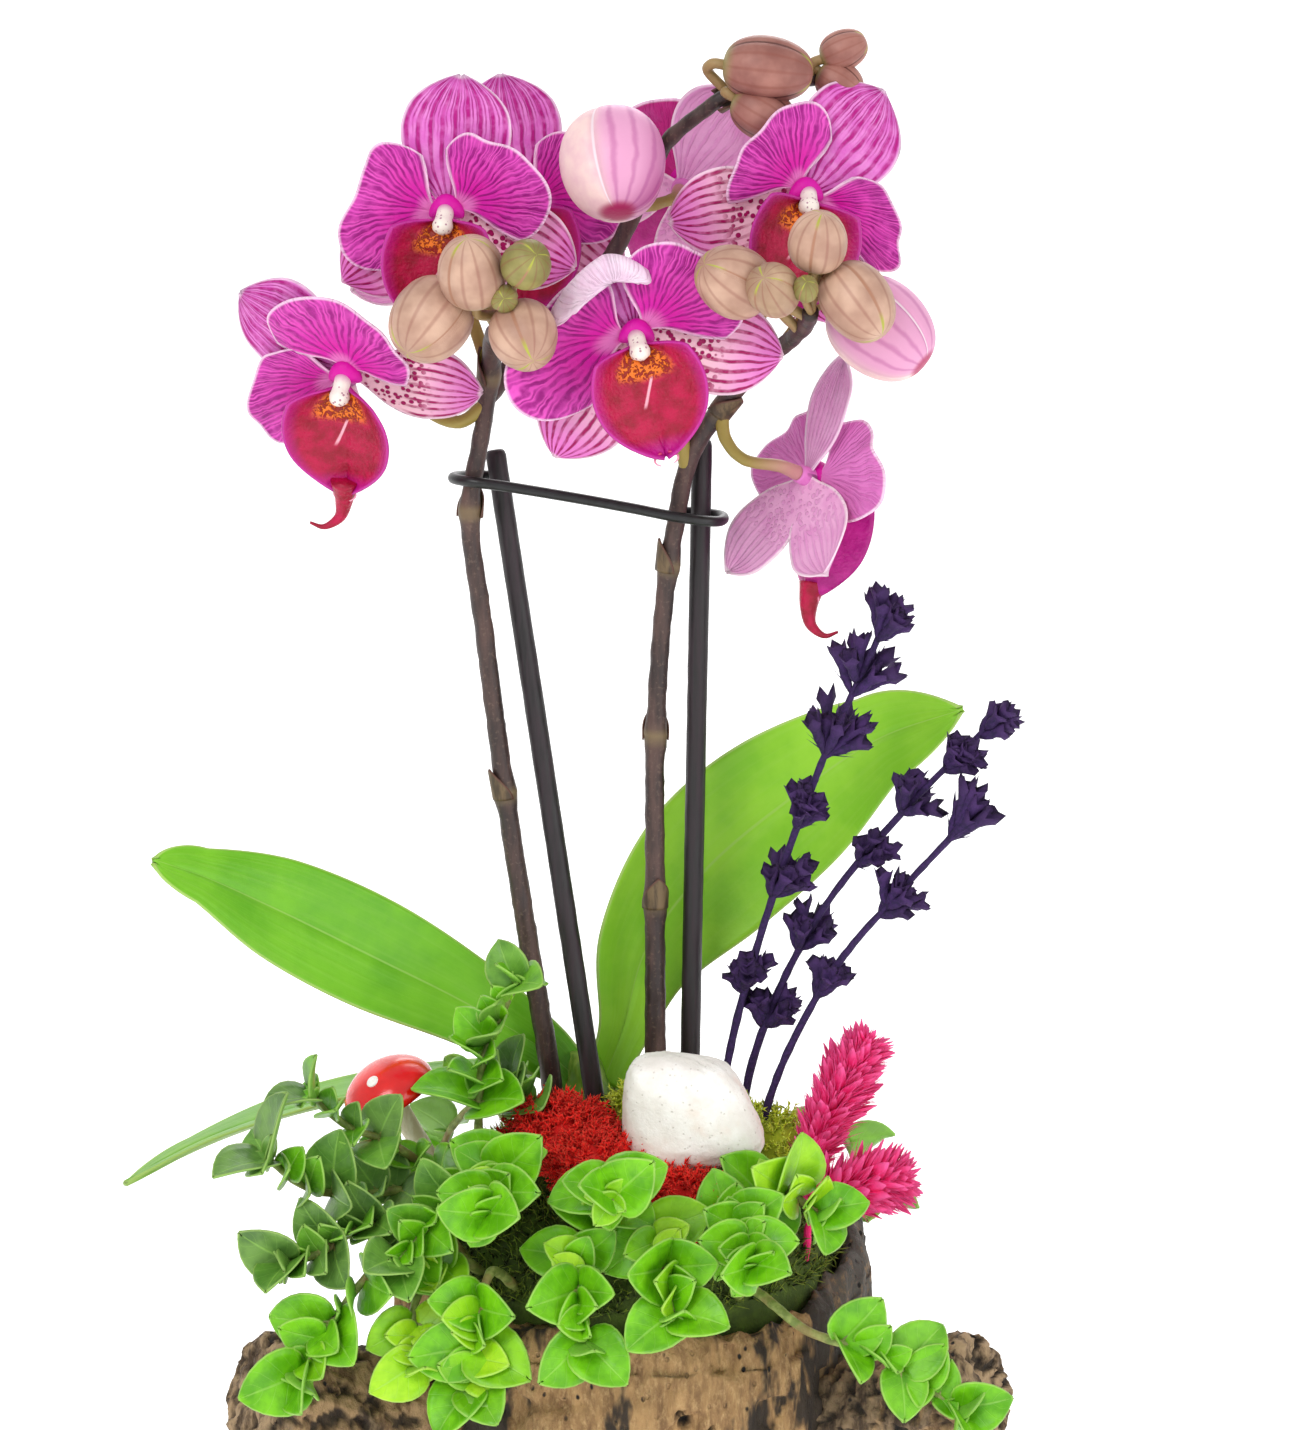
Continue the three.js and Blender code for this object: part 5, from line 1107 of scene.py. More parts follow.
def bud_shape(build, base, axis, length, width, tone, material, seams=0.05, sides=42, steps=22):
    """An egg-shaped bud of three folded sepals, its seams sunk a little."""
    angle = turns(sides)
    out = spokes(*look_axes(axis)[:2], angle)
    ridge = np.abs(np.sin(1.5 * angle))
    lobes = 1 + 0.045 * ridge - seams * bell(ridge, 0.09)
    polar = 0.06 + (math.pi - 0.12) * np.arange(steps + 1) / steps
    part = (1 - np.cos(polar)) / 2
    taper = np.sin(polar) ** 0.8 * (1 + 0.06 * np.cos(polar))
    middles = base + axis * (length * part)[:, None]
    rows = middles[:, None] + out * (width / 2 * taper[:, None] * lobes)[..., None]
    rings(build, rows, material, u=part[:, None], v=angle / TURN, tone=tone)


def sheath(build, curve, share, turn):
    """A small papery bract that clasps the stem at a joint and ends in a point."""
    at, along = curve.at(share)
    right, up, _ = look_axes(along)
    S, J = mesh_grid(np.linspace(0, 1, 12), np.linspace(-1, 1, 17))
    width = 1.7 * (1 - S**1.6) + 0.06
    out = spokes(right, up, turn + J * width)
    r = SPIKE_RADIUS + 0.42 + 0.25 * S
    points = at + along * ((S - 0.15) * SHEATH_LENGTH)[..., None] + out * r[..., None]
    front = right * math.cos(turn) + up * math.sin(turn)
    blade(build, points, 0.3, front, 1, u=S, v=J, edge=width * 2.4 * (1 - np.abs(J)))


def stalk_end(target):
    """The last two points of the stalk of a bloom or of an opening bud."""
    for name, at, facing, *_ in BLOOMS:
        if name == target:
            place, _ = bloom_placer(at, facing)
            return [place(0, 0, -BLOOM_BACK - 5), place(0, 0, -BLOOM_BACK - 0.1)]
    at, tip, length, _ = OPENING_BUDS[target]
    axis = unit(tip)
    return [vec(at) - axis * (length / 2 + 1.6) - [0, 0, 1.2], vec(at) - axis * (length / 2 - 0.6)]


def spikes():
    paints = [stem_paint(), sheath_paint(), bud_paint()]
    for name, (stem, joints, branch, stalks, buds) in SPIKES.items():
        build = Build()
        curve = Curve(stem)

        def radius(share, point):
            swell = sum(0.55 * bell(point[2] - height, 3.0) for height in joints)
            return SPIKE_RADIUS * (1.04 - 0.3 * share) + swell

        steps = 150
        shares = np.linspace(0, 1, steps + 1)
        heights = np.array([curve.at(s)[0][2] for s in shares])
        mark = np.clip(sum(bell(heights - h, 1.3) for h in joints), 0, 1)
        tube(build, curve, radius, 24, steps, ripple=0.12, joint=0.8 * mark[:, None])
        for k, height in enumerate(joints):
            sheath(build, curve, float(np.interp(height, heights, shares)), -1.3 + 1.9 * k)
        if branch:
            branch = Curve(branch)
            tube(build, branch, lambda s, m: SPIKE_RADIUS * (0.9 - 0.3 * s), 20, 90, ripple=0.15)
            for share, turn in BRANCH_SHEATHS:
                sheath(build, branch, share, turn)
        pink = smooth(np.linspace(0, 1, 41)[:, None], 0.45, 1)
        pedicel = lambda s, m: PEDICEL_RADIUS * (1.15 - 0.25 * math.sin(math.pi * s))
        for target, route in stalks:
            tube(build, [*route, *stalk_end(target)], pedicel, 16, 40, ripple=0.06, olive=0.9, pink=pink)
        for at, tip, (length, width), start, tone in buds:
            axis = unit(tip)
            base = vec(at) - axis * length / 2
            route = [vec(start), base - axis * 2, base + axis * 0.6]
            if length > 18:
                route.insert(1, (vec(start) + base) / 2 + [-4, 0, 2])
            tube(build, route, min(1.1, width / 7), 12, 20, ripple=0.05, olive=0.8, pink=0.25)
            bud_shape(build, base, axis, length, width * 1.02, tone, 2)
        build.finish(name + "_stems", paints, name)
    opening = opening_paint()
    for name, (at, tip, length, width) in OPENING_BUDS.items():
        build = Build()
        axis = unit(tip)
        middle = 0.5 if "top" in name else 2.4
        shade = smooth(np.cos(turns(90) - middle), -0.25, 0.35)
        base = vec(at) - axis * length / 2
        bud_shape(build, base, axis, length, width, shade, 0, seams=0.07, sides=90, steps=44)
        build.finish(name + "_sepals", opening, name)


# Orchid leaves: line, half widths at even steps, face, fold, roundness of the tip, dark and light tone

LEAVES = [
    ("leaf_left",
     [[-11.5, 8, 134], [-18, 8.6, 140], [-35, 7, 151.5], [-56, 4, 163.5], [-77, 0, 175.5], [-92, -5, 184],
      [-101.5, -8, 188]],
     [4, 6, 9.8, 12.6, 11.5, 6.5, 1], [-0.25, -0.72, 0.66], 0.16, 0.6, "5aa40e", "74bc1c"),
    ("leaf_right",
     [[-6.5, 9, 133.5], [-2, 11.5, 145], [3, 15, 162], [16, 19, 179], [35, 21, 195], [54, 22, 208],
      [72.5, 23, 214.5]],
     [4.5, 6, 12, 17, 16.5, 10, 1], [0.28, -0.9, 0.25], 0.2, 0.85, "78bc18", "90ce2a"),
    ("leaf_low",
     [[-11, 12, 132.5], [-19, 16, 133.5], [-36, 17, 132.5], [-58, 11, 130.5], [-76, 3, 128.5],
      [-93, -9, 125.5], [-107.5, -22, 121]],
     [4.5, 5.5, 8, 9, 8, 5, 1], [-0.1, 0.12, 1], 0.25, 0.9, "62a02a", "80b63e"),
]
CROWN = [[-8, 8, 108], [-9, 8, 124], [-10.5, 8, 141]]


def leaf_paint(name, dark, light):
    p = sheen_leaf(name + "_skin")
    u, v, back, edge = p.read("u v back edge")
    soft = p.noise(16.0, 4, 0.55)
    stripe = p.noise(1.0, 2, 0.5, p.vector(p.times(u, 0.004), p.times(v, 0.012)))
    colour = p.fade(soft, 0.3, 0.7, dark, light)
    colour = p.fade(stripe, 0.45, 0.7, colour, "a0cc58", 0.1)
    colour = p.fade(p.size(v), 0.03, 0.008, colour, "a4c864", 0.45)
    colour = p.fade(edge, 0.45, 0.15, colour, "b0cc70", 0.7)
    colour = p.mix(p.times(back, 0.45), colour, "8cb050")
    relief = p.add(p.times(stripe, 0.5), p.times(p.noise(1.6, 3), 0.4))
    return p.done(colour, relief, 0.18, p.between(soft, 0.3, 0.7, 0.36, 0.5))


def orchid_leaves():
    s, j = np.linspace(0, 1, 78), np.linspace(-1, 1, 25)
    for name, line, widths, face, fold, roundness, dark, light in LEAVES:
        build = Build()
        curve = Curve(line)
        rows, edges = [], []
        table = [(k / (len(widths) - 1), w) for k, w in enumerate(widths)]
        for share in s:
            middle, along = curve.point(share), curve.tangent(share)
            side = unit(np.cross(along, face))
            up = unit(np.cross(side, along))
            half = max(0.12, float(eased(share, table)))
            if share > 5 / 6:
                half = widths[5] * max(0.015, 1 - (6 * share - 5) ** 1.7) ** roundness
            sway = 0.5 * np.sin(11 * share + 2.2 * j) * np.abs(j) * smooth(share, 0.1, 0.4)
            keel = -0.55 * bell(j, 0.07) * smooth(share, 0.05, 0.2) * smooth(1 - share, 0.02, 0.15)
            lift = half * fold * j * j * (1.6 - share) + sway + keel
            rows.append(middle + side * (half * j)[:, None] + up * lift[:, None])
            edges.append(half * (1 - np.abs(j)))
        thick = 1.35 - 0.85 * smooth(np.abs(j), 0.6, 1)
        blade(build, rows, thick, vec(face), u=s[:, None], v=j, edge=np.array(edges))
        build.finish(name + "_blade", leaf_paint(name, dark, light), name)
    build = Build()
    tube(build, CROWN, lambda s, m: 5.4 * (1 if s < 0.7 else 1 - 1.6 * (s - 0.7)), 40, 40, ripple=0.3)
    paint = streaked(sheen_leaf("crown_skin"), 3.0, 4, 0.2, 0.35, 0.7, "5f8a24", "a8c458", 0.3)
    build.finish("crown_base", paint, "orchid_crown")


# Dried flowers

LAVENDER = [
    ("lavender_tall", [[17.5, -3, 106], [20.5, -2.5, 140], [29, -4, 175], [40, -6, 208], [52.6, -8, 238]],
     [0.4, 0.56, 0.68, 0.8, 0.91, 1]),
    ("lavender_long", [[22.5, 6, 106], [26.5, 0, 142], [40, -2, 174], [58, -4, 198], [75.4, -5, 216.5]],
     [0.37, 0.52, 0.7, 0.81, 0.92, 1]),
    ("lavender_short", [[26.5, -5, 104], [29.5, -7, 134], [43, -9, 164], [57, -11, 182], [68.6, -12, 195.5]],
     [0.56, 0.79, 1]),
]
FLORET_SHAPE = [(0, 0.3), (0.18, 0.7), (0.42, 0.95), (0.62, 0.85), (0.8, 1.15), (1.0, 1.75)]
GRASS_HEADS = [
    ("grass_head_tall", [[31, -14, 108], [36, -13.5, 118], [42, -12, 132], [50.5, -10, 148.5]], 13),
    ("grass_head_low", [[37, -21, 103], [39, -21.5, 114.5], [46.5, -22.5, 119.5], [57, -23.5, 122.5]], 14),
]
HEAD_ROWS, ROW_HAIRS, ROW_HUSKS = 24, 80, 9


def dry_paint(name, roughness, size, dark, light, start, tip, most, shade, share, depth):
    """Dried flower. Its tips are lighter, and some of its parts darker."""
    p = Paint(name, roughness)
    u, tone = p.read("u tone")
    fibre = p.noise(size, 4, 0.6)
    colour = p.fade(u, start, 1.0, p.fade(fibre, 0.3, 0.7, dark, light), tip, most)
    return p.done(p.mix(p.times(tone, share), colour, shade), fibre, depth)


def lavender():
    paint = dry_paint("lavender_dry", 0.85, 0.8, "221040", "3c1c5c", 0.6, "4a2a66", 0.7, "120a1c", 0.35, 0.2)
    for index, (name, route, shares) in enumerate(LAVENDER):
        build = Build()
        rng = np.random.default_rng(700 + index)
        curve = Curve(route)
        tube(build, curve, lambda s, m: 0.95 * (1 - 0.25 * s), 10, 60, ripple=0.1, tone=0.5, u=0.2)
        for w, share in enumerate(shares):
            at, along = curve.at(share)
            right, up, _ = look_axes(along)
            scale = 0.72 + 0.42 * draw(700 + 200 * index + 31 * w + 7)
            count = int(11 + 7 * draw(90 + 17 * index + w))
            turn = rng.uniform(0, TURN, count)
            turn = turn + 0.7 * np.sin(turn + 5 * draw(w + 3 * index))
            out = spokes(right, up, turn)
            spread = rng.uniform(0.25, 1.15, count)[:, None] * (0.6 if share == 1 else 1.0)
            ways = unit(along + out * spread)
            roots = at + along * rng.uniform(-3.2, 0.4, count)[:, None] + out * 0.4
            size = rng.uniform(6.4, 9.2, count) * scale
            florets(build, roots, ways, size, rng)
            shape = (2 * count, 3)
            roots, ways, size = (np.repeat(x, 2, 0) for x in (roots, ways, size))
            fringe = ways + 0.3 * rng.normal(size=shape)
            size = size * rng.uniform(0.5, 0.9, 2 * count)
            hairs(build, roots, fringe, size, 0.2, rng.normal(size=shape) * 0.5)
        build.finish(name + "_stem", paint, name)


def florets(build, roots, ways, lengths, rng):
    """Small ribbed tubes that swell and open in ragged teeth."""
    sides = 8
    levels = np.array([s for s, _ in FLORET_SHAPE] + [0.6])[:, None]
    for root, way, length in zip(roots, ways, lengths):
        out = spokes(*look_axes(way)[:2], turns(sides))
        tooth = 1 + 0.2 * (np.arange(sides) % 2) + rng.uniform(-0.12, 0.12, sides)
        rows = []
        for share, r in FLORET_SHAPE:
            reach = length * share * (tooth if share == 1 else np.ones(1))
            rows.append(root + way * reach[:, None] + out * (r * 1.25))
        rows.append(root + way * (length * 0.72) + out * 0.4)
        rings(build, rows, u=levels, tone=float(rng.uniform(0, 1)))


def grass_heads():
    paint = dry_paint("dyed_grass", 0.75, 0.7, "ec0468", "ff2484", 0.5, "ff5ca4", 1.0, "b00440", 0.4, 0.15)
    for index, (name, route, width) in enumerate(GRASS_HEADS):
        build = Build()
        rng = np.random.default_rng(1500 + index)
        curve = Curve(route)

        def core(s, m):
            return 0.9 + width * 0.16 * math.sin(math.pi * min(1, max(0, s - 0.3) / 0.68)) ** 0.7

        tube(build, curve, core, 14, 50, ripple=0.2, tone=0.6, u=0.1)
        for share in np.linspace(0.33, 0.97, HEAD_ROWS):
            at, along = curve.at(share)
            right, up, _ = look_axes(along)
            reach = width * 0.72 * math.sin(math.pi * (0.2 + 0.68 * (share - 0.33) / 0.64)) ** 0.6
            outs = spokes(right, up, rng.uniform(0, TURN, ROW_HAIRS))
            ways = along * rng.uniform(0.7, 1.5, ROW_HAIRS)[:, None]
            ways = ways + outs * rng.uniform(0.6, 1.2, ROW_HAIRS)[:, None]
            long = reach * rng.uniform(0.75, 1.2, ROW_HAIRS)
            bends = rng.normal(size=(ROW_HAIRS, 3)) * 0.4
            hairs(build, at + outs * 0.5, ways, long, 0.27, bends, tone=rng.uniform(0, 0.8, ROW_HAIRS))
            for out in spokes(right, up, turns(ROW_HUSKS) + rng.uniform(0, 6.28)):
                way = unit(along * rng.uniform(0.75, 1.3) + out * rng.uniform(0.8, 1.25))
                husk(build, at + out * 0.6, way, along, reach * rng.uniform(0.8, 1.25), rng)
        build.finish(name + "_bracts", paint, name)


def husk(build, root, way, along, length, rng):
    """A narrow pointed bract."""
    side = unit(np.cross(way, along) + 0.25 * rng.normal(size=3))
    lift = unit(np.cross(side, way))
    S, J = mesh_grid(np.array([0.02, 0.3, 0.6, 0.85, 1.0]), np.array([-1, 0, 1]))
    half = length * 0.17 * np.array([0.4, 1.0, 0.85, 0.45, 0.06])[:, None]
    rise = 0.5 * half * np.abs(J) + 0.1 * length * S * S
    surface = root + way * (length * S)[..., None] + side * (half * J)[..., None] + lift * rise[..., None]
    blade(build, surface, 0.16, lift, u=S, tone=float(rng.uniform(0, 1)))


# Creeper: stem, leaf sizes at its start and tip, pairs of leaves, start of the leaves, tone

CREEPERS = [
    ("shoot",
     [[-31.5, -13, 115], [-32.6, -15.5, 131], [-31.5, -15, 146], [-28, -13, 155], [-24.5, -13, 162]],
     [13, 10], 3, 0.45, 0.35),
    ("back_left",
     [[-20, -4, 121], [-21.5, -6, 133], [-25, -7, 138.5], [-29, -8.5, 140], [-33, -9.5, 139]],
     [13, 11], 3, 0.45, 0.15),
    ("by_mushroom",
     [[-35, -17, 109.5], [-42, -20, 122], [-51, -25, 131], [-60, -28, 136], [-66, -29, 142]],
     [12, 11.5], 3, 0.3, 0.2),
    ("far_left",
     [[-37, -18, 106], [-45, -24, 119.5], [-57, -32, 122], [-67, -37, 125], [-74.5, -40, 132]],
     [12, 14], 3, 0.4, 0),
    ("left",
     [[-34, -25, 104.5], [-44, -31, 116.5], [-56, -40, 117.5], [-64.5, -44.5, 113.5], [-70, -46.5, 112.5]],
     [12, 12.5], 4, 0.4, 0.05),
    ("left_hanging",
     [[-31, -29, 103.5], [-42, -39, 113.5], [-53, -48, 111], [-61, -54.5, 102.5], [-66.5, -59.5, 93.5]],
     [12, 13.5], 4, 0.4, 0.45),
    ("front_left", [[-22, -26, 116], [-26, -33, 127.5], [-28, -44, 128.5], [-29, -55, 126]],
     [12, 12.5], 4, 0.4, 0.6),
    ("front", [[-6, -37, 109], [-5, -42, 123], [-4.2, -49, 129.5], [-3.6, -57, 130]],
     [12, 12.5], 4, 0.4, 0.65),
    ("low_front", [[3, -36, 109.5], [5, -47, 118.5], [7.5, -56.5, 113.5], [8.8, -62.5, 107.5]],
     [12.5, 13], 3, 0.4, 0.7),
    ("front_right", [[17, -34, 108.5], [21, -43, 119], [23, -52.5, 119.5], [24.3, -60, 116.8]],
     [11, 11.5], 4, 0.4, 0.6),
    ("right", [[25, -27, 110.5], [28, -34, 122], [33, -39.5, 125], [38.5, -42, 121.5]],
     [12.5, 13], 3, 0.45, 0.75),
    ("trailing",
     [[22, -36.5, 101], [25.5, -50, 107.5], [36.7, -58, 101.5], [49, -58.5, 97.5], [60, -58.5, 90],
     [66.5, -60.5, 86]], [13, 12], 4, 0.36, 0.5),
    ("centre_hanging", [[-24, -36, 103], [-29, -48, 110.5], [-31.6, -56, 101], [-32, -58.5, 90.5]],
     [12, 12.5], 4, 0.4, 0.7),
    ("lime", [[-31, -33, 101], [-39, -42.5, 110], [-44.5, -51, 104.5], [-43, -57, 95]],
     [11, 11], 4, 0.4, 1),
    ("upper_left", [[-27, -22, 114.5], [-32, -31, 124], [-40, -42.5, 121], [-47.5, -50.5, 114.5]],
     [12, 11.5], 4, 0.35, 0.3),
    ("under_front", [[-10, -39, 104.5], [-10.5, -51, 114.5], [-10.5, -58, 109], [-9.6, -61.5, 101.5]],
     [12, 13], 3, 0.4, 0.6),
    ("back_middle", [[4, 30, 114], [5, 42, 121], [7, 54, 112], [8, 59.5, 98]], [13, 12], 3, 0.4, 0.4),
    ("back_right", [[28, 22, 114], [39, 31, 120], [49, 38.5, 110], [53, 41.5, 97]],
     [13, 12], 3, 0.4, 0.5),
    ("back_far", [[-24, 28, 112], [-33, 40, 119], [-42, 48, 110], [-46, 52, 97]],
     [13, 12], 3, 0.4, 0.3),
]
CREEPER_STEM_RADIUS = 1.1
LEAF_SHAPE = [
    (0, 0.34), (0.04, 0.6), (0.1, 0.82), (0.2, 0.99), (0.34, 1.06), (0.5, 1.03), (0.65, 0.89), (0.78, 0.69),
    (0.88, 0.46), (0.95, 0.25), (1, 0.03),
]
LEAF_ROWS = np.array([0.0, 0.06, 0.14, 0.24, 0.36, 0.5, 0.64, 0.77, 0.88, 0.96, 1.0])
LEAF_TURNS = [0, 14, -14, 28, -28, 42, -42]
LEAF_LIFTS = [0, 16, -16, 32]
LEAF_CORNERS = [(1, 0, 0), (0.62, -1, 0.86), (0.62, 1, 0.86), (0.3, -1, 0.96), (0.3, 1, 0.96)]
ON_SURFACE = 0.62


def creeper_paint():
    p = sheen_leaf("creeper_leaf_skin")
    u, v, edge, back, tone, dry = p.read("u v edge back tone dry")
    far = p.size(v)
    soft = p.noise(5.0, 3)
    dark, mid, lime, brown = (
        p.fade(soft, 0.3, 0.7, a, b)
        for a, b in (("4a7230", "6e9844"), ("56a008", "7ac80e"), ("94d010", "b4e428"), ("6a4030", "9a6c50"))
    )
    colour = p.fade(tone, 0.75, 1.0, p.fade(tone, 0.05, 0.45, dark, mid), lime)
    rib = p.between(p.ribs(p.add(u, p.times(far, -0.35)), 15.0), 0.16, 0.04, 0.0, 0.14)
    veins = p.most(rib, p.between(far, 0.07, 0.015, 0.0, 0.35))
    colour = p.mix(veins, colour, "a4d860")
    colour = p.fade(edge, 0.36, 0.1, colour, "c4e07c", 0.32)
    colour = p.mix(dry, p.mix(p.times(back, 0.5), colour, "84b050"), brown)
    relief = p.add(p.times(veins, -0.8), p.times(p.noise(1.2, 3), 0.4))
    return p.done(colour, relief, 0.25, p.between(soft, 0.3, 0.7, 0.34, 0.48))


def creeper_stem_paint():
    p = Paint("creeper_stem_skin", 0.55)
    streak = p.noise(2.0, 4, 0.6)
    colour = p.fade(streak, 0.35, 0.7, "6a7a34", "98a458")
    return p.done(p.fade(p.noise(7), 0.5, 0.65, colour, "84583c", 0.5), streak, 0.15)


def leaf_frame(axis, normal):
    along = unit(axis)
    side = unit(np.cross(along, normal))
    return along, side, np.cross(side, along)


def creeper_leaf(build, foot, axis, normal, length, tone, seed, dry=0.0):
    """A cupped heart-shaped leaf on its short stalk."""
    along, side, up = leaf_frame(axis, normal)
    S, J = mesh_grid(LEAF_ROWS, np.linspace(-1, 1, 9))
    width = length * 0.44 * eased(S, LEAF_SHAPE)
    place = 0.06 + 0.94 * S - 0.12 * np.abs(J) ** 2 * (1 - S) ** 2
    lift = length * (0.16 * place - 0.26 * place * place) + 0.32 * width * J * J
    lift += length * (0.02 * np.sin(6 * S + 6 * draw(seed)) * np.abs(J) - 0.03 * bell(J, 0.16) * (1 - S))
    points = foot + along * (length * place)[..., None]
    points = points + side * (width * J)[..., None] + up * lift[..., None]
    edge = np.minimum(width * (1 - np.abs(J)), length * (1 - S) * 0.7)
    thick = 0.7 - 0.35 * smooth(np.abs(J), 0.5, 1)
    blade(build, points, thick, up, u=S, v=J, edge=edge, tone=tone, dry=dry)
    stalk = [foot, foot + along * length * 0.06, points[2, 4]]
    tube(build, stalk, lambda t, m: 0.62 * (1 - 0.45 * t), 7, 5, material=1)


def creeper_plan(curve, sizes, pairs, start, index):
    """The leaves of one creeper stem, as the solids have them."""
    for i in range(pairs):
        part = i / (pairs - 1)
        share = start + (1 - start) * part
        foot, along = curve.at(share)
        sky = np.append(0.8 * unit([foot[0] / 70, foot[1] / 25]), 0.6)
        side = unit(np.cross(along, sky))
        front = np.cross(side, along)
        size = sizes[0] + (sizes[1] - sizes[0]) * part
        for k in range(2):
            seed = 3000 + 100 * index + 10 * i + k
            tilt = (0.2 if i % 2 == 0 else 0.6) + 0.35 * draw(seed)
            angle = tilt if k == 0 else math.pi - tilt
            length = size * (0.84 + 0.32 * draw(seed + 5))
            opening = (0.7 if part == 1 else 1.05) + 0.4 * draw(seed + 7)
            roll = 0.9 * (draw(seed + 8) - 0.5)
            options = []
            for lift in LEAF_LIFTS:
                for turn in LEAF_TURNS:
                    around = angle + math.radians(turn)
                    out = side * math.cos(around) + front * math.sin(around)
                    spread = opening - math.radians(lift)
                    axis = along * math.cos(spread) + out * math.sin(spread)
                    back = along * math.sin(spread) - out * math.cos(spread)
                    tip = sky - axis * (sky @ axis) + 0.3 * back + roll * unit(np.cross(axis, sky))
                    options.append((axis, unit(tip)))
            yield seed, part, foot, along, length, options


def node_surface(name):
    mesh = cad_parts[name].data
    return BVHTree.FromPolygons([v.co[:] for v in mesh.vertices], [p.vertices[:] for p in mesh.polygons])


def leaf_matches(surface, foot, axis, normal, length):
    """How many corners of a leaf of the solid lie on the solid's surface."""
    along, side, up = leaf_frame(axis, normal)
    count = 0
    for share, across, part in LEAF_CORNERS:
        width = part * length * 0.42
        rise = length * (0.16 * share - 0.26 * share * share) + 0.3 * width * across * across
        p = foot + along * length * share + side * width * across + up * rise
        gap = surface.find_nearest(Vector(p * MM))[3]
        count += gap is not None and gap < ON_SURFACE * MM
    return count


def rosette(build, foot, along, last, length, tone, seed):
    """The young leaves at a stem's tip: pairs set crosswise, each smaller than the one below."""
    across = unit(np.cross(along, last))
    flat = unit(np.cross(across, along))
    for k, (way, size, up, rise) in enumerate([(across, 0.62, 0.5, 0.4), (flat, 0.36, 0.85, 0.9)]):
        for side in (-1, 1):
            axis, normal = unit(up * along + side * way), unit(along - up * side * way)
            root = foot + along * (0.8 * rise)
            creeper_leaf(build, root, axis, normal, length * size, tone, seed + 20 + 2 * k + side)


def young(build, curve, share, neighbour, length, tone, seed):
    """A smaller leaf that fills the gap between two pairs."""
    foot, along = curve.at(share)
    axis, normal = neighbour
    aside = unit(np.cross(axis, normal))
    ahead, across = 0.8 * (draw(seed + 12) - 0.3), 1.1 * (draw(seed + 15) - 0.5)
    axis = unit(axis + ahead * along + across * aside + 0.3 * normal)
    length = length * (0.85 + 0.4 * draw(seed + 13))
    creeper_leaf(build, foot, axis, unit(normal - 0.3 * axis), length, min(1, tone + 0.12), seed + 14)


def creepers():
    paints = [creeper_paint(), creeper_stem_paint()]
    shown, missed = 0, 0
    for index, (name, route, sizes, pairs, start, tone) in enumerate(CREEPERS):
        build = Build()
        surface = node_surface("creeper_" + name)
        curve = Curve(route)
        stem = lambda s, m: CREEPER_STEM_RADIUS * (1.0 - 0.3 * s)
        tube(build, curve, stem, 12, 50, material=1, ripple=0.12)
        crowned = False
        step = (1 - start) / (pairs - 1)
        for seed, part, foot, along, length, options in creeper_plan(curve, sizes, pairs, start, index):
            found = next((o for o in options if leaf_matches(surface, foot, *o, length) >= 4), None)
            if found is None:
                missed += 1
                continue
            shown += 1
            shade = np.clip(tone + 0.35 * (draw(seed + 9) - 0.5), 0, 1)
            dry = 1.0 if name == "front_right" and part == 0.5 and seed % 10 == 1 else 0.0
            creeper_leaf(build, foot, *found, length, shade, seed, dry)
            if part < 1:
                share = start + (1 - start) * part
                young(build, curve, share + 0.34 * step, found, 0.66 * length, shade, seed)
                young(build, curve, share + 0.7 * step, found, 0.56 * length, shade + 0.1, seed + 30)
            elif not crowned:
                crowned = True
                rosette(build, foot, along, found[0], length, min(1, shade + 0.15), seed)
        build.finish(f"creeper_{name}_leaves", paints, "creeper_" + name)
    print("creeper leaves:", shown, "left off:", missed)


# The whole plant

planter()
soil()
moss_bed()
for clump in MOSS_CLUMPS:
    moss_clump(*clump)
pebble()
mushroom()
stakes_and_clip()
orchid_leaves()
spikes()
blooms()
lavender()
grass_heads()
creepers()


# Floor, light and camera

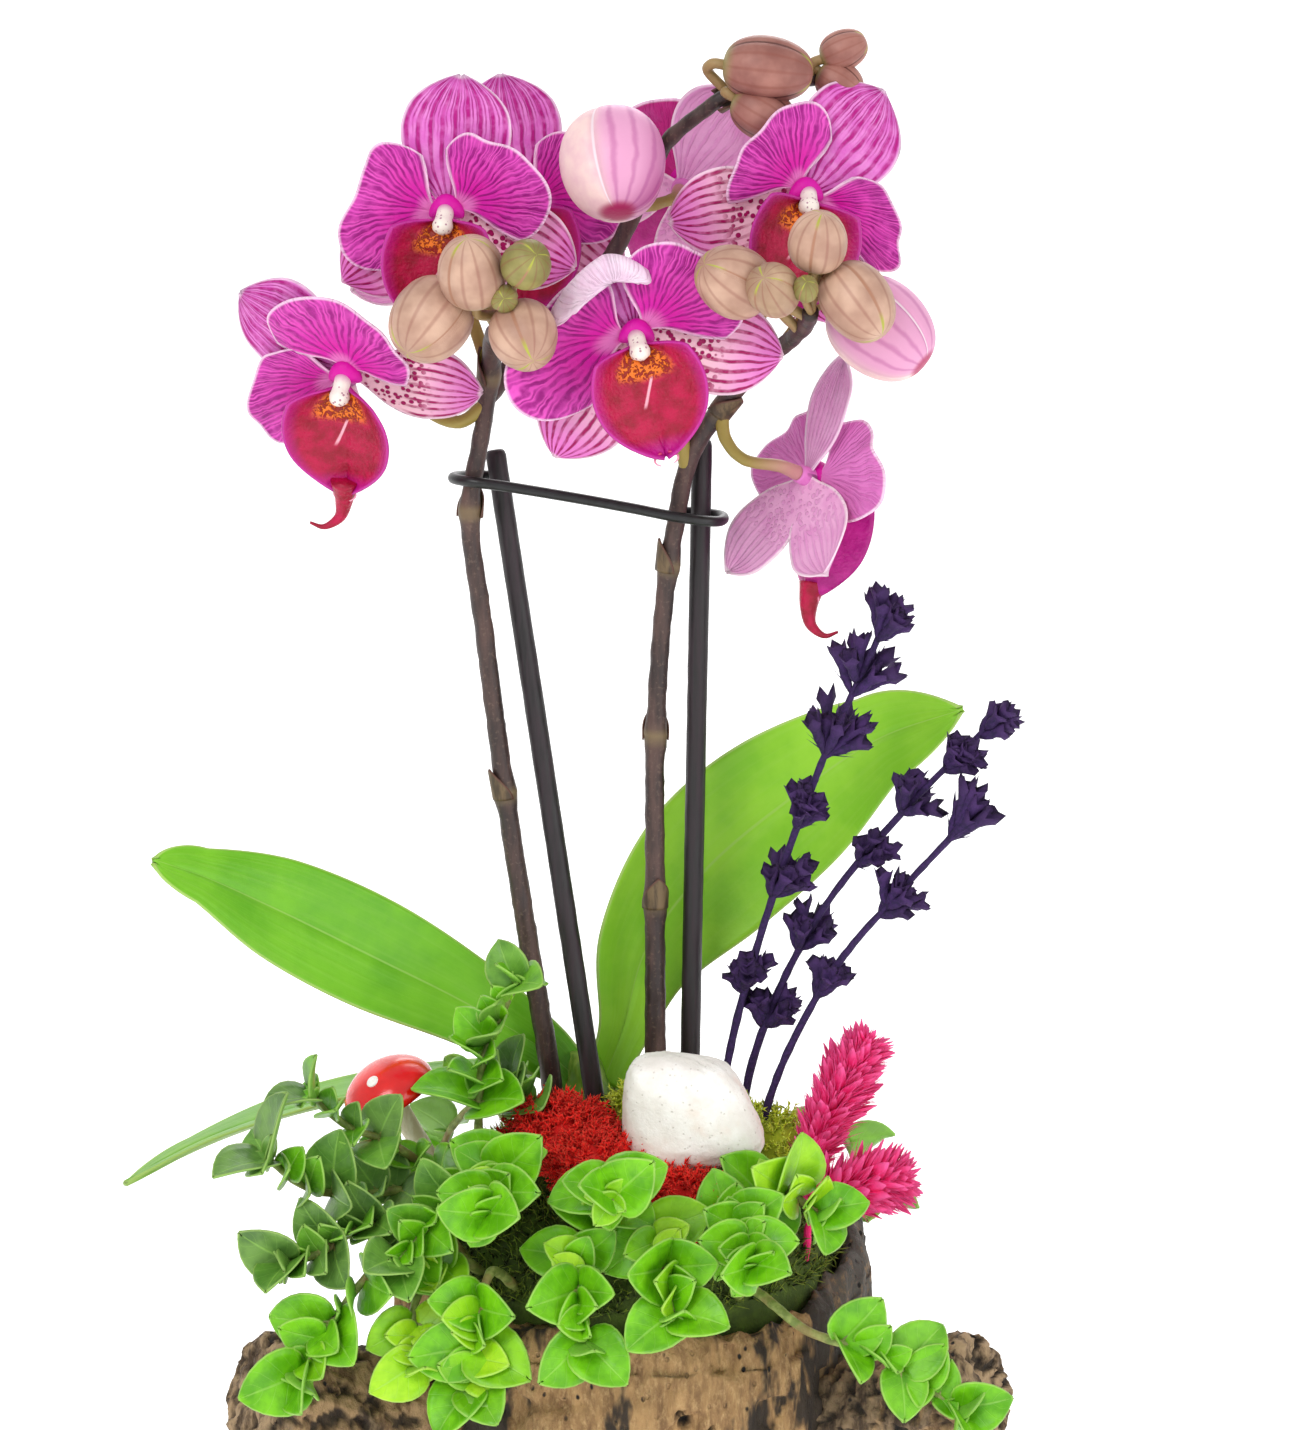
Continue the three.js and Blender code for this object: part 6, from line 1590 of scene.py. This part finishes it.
FLOOR = [(-3000, 0), (-600, 0), (600, 0), (1400, 0), (1700, 60), (1900, 240), (2000, 520), (2000, 3000)]
LAMPS = [
    ("key", (-620, -1150, 1150), 700, 9.5),
    ("fill", (900, -900, 500), 900, 4),
    ("back", (100, 900, 900), 700, 3.5),
]
TARGET, DISTANCE, ELEVATION, LENS = Vector((4, 0, 218)), 800, math.radians(12), 94.66


def linked(name, data):
    made = bpy.data.objects.new(name, data)
    bpy.context.scene.collection.objects.link(made)
    return made


def facing(way):
    return way.to_track_quat("-Z", "Y").to_euler()


def studio():
    rows = [[[x, y, z - 0.2] for x in (-3000, -1000, 1000, 3000)] for y, z in FLOOR]
    mesh = bpy.data.meshes.new("floor")
    mesh.from_pydata((np.array(rows, float) * MM).reshape(-1, 3).tolist(), [], grid(len(FLOOR), 4).tolist())
    mesh.shade_smooth()
    stand = linked("floor", mesh)
    p = Paint("floor_paint", 0.9, Emission_Color=(1, 1, 1, 1), Emission_Strength=0.45)
    cloud = p.noise(120.0, 2)
    mesh.materials.append(p.done(p.fade(cloud, 0.3, 0.7, "f7f7f7", "fafafa")))

    world = bpy.data.worlds.new("studio")
    bpy.context.scene.world = world
    world.use_nodes = True
    background = world.node_tree.nodes["Background"]
    background.inputs["Color"].default_value = (1, 1, 1, 1)
    background.inputs["Strength"].default_value = 0.7

    for name, place, size, power in LAMPS:
        light = bpy.data.lights.new(name, "AREA")
        light.shape = "DISK"
        light.size = size * MM
        light.energy = power
        lamp = linked(name, light)
        lamp.location = Vector(place) * MM
        lamp.rotation_euler = facing(Vector((0, 0, 220)) - Vector(place))

    camera = bpy.data.cameras.new("camera")
    camera.lens, camera.sensor_width = LENS, 36
    camera.clip_start, camera.clip_end = 0.01, 50
    view = linked("camera", camera)
    back = Vector((0, -math.cos(ELEVATION), math.sin(ELEVATION)))
    view.location = (TARGET + back * DISTANCE) * MM
    view.rotation_euler = facing(-back)
    bpy.context.scene.camera = view
    bpy.context.scene.view_settings.view_transform = "Standard"


studio()
bpy.context.view_layer.update()
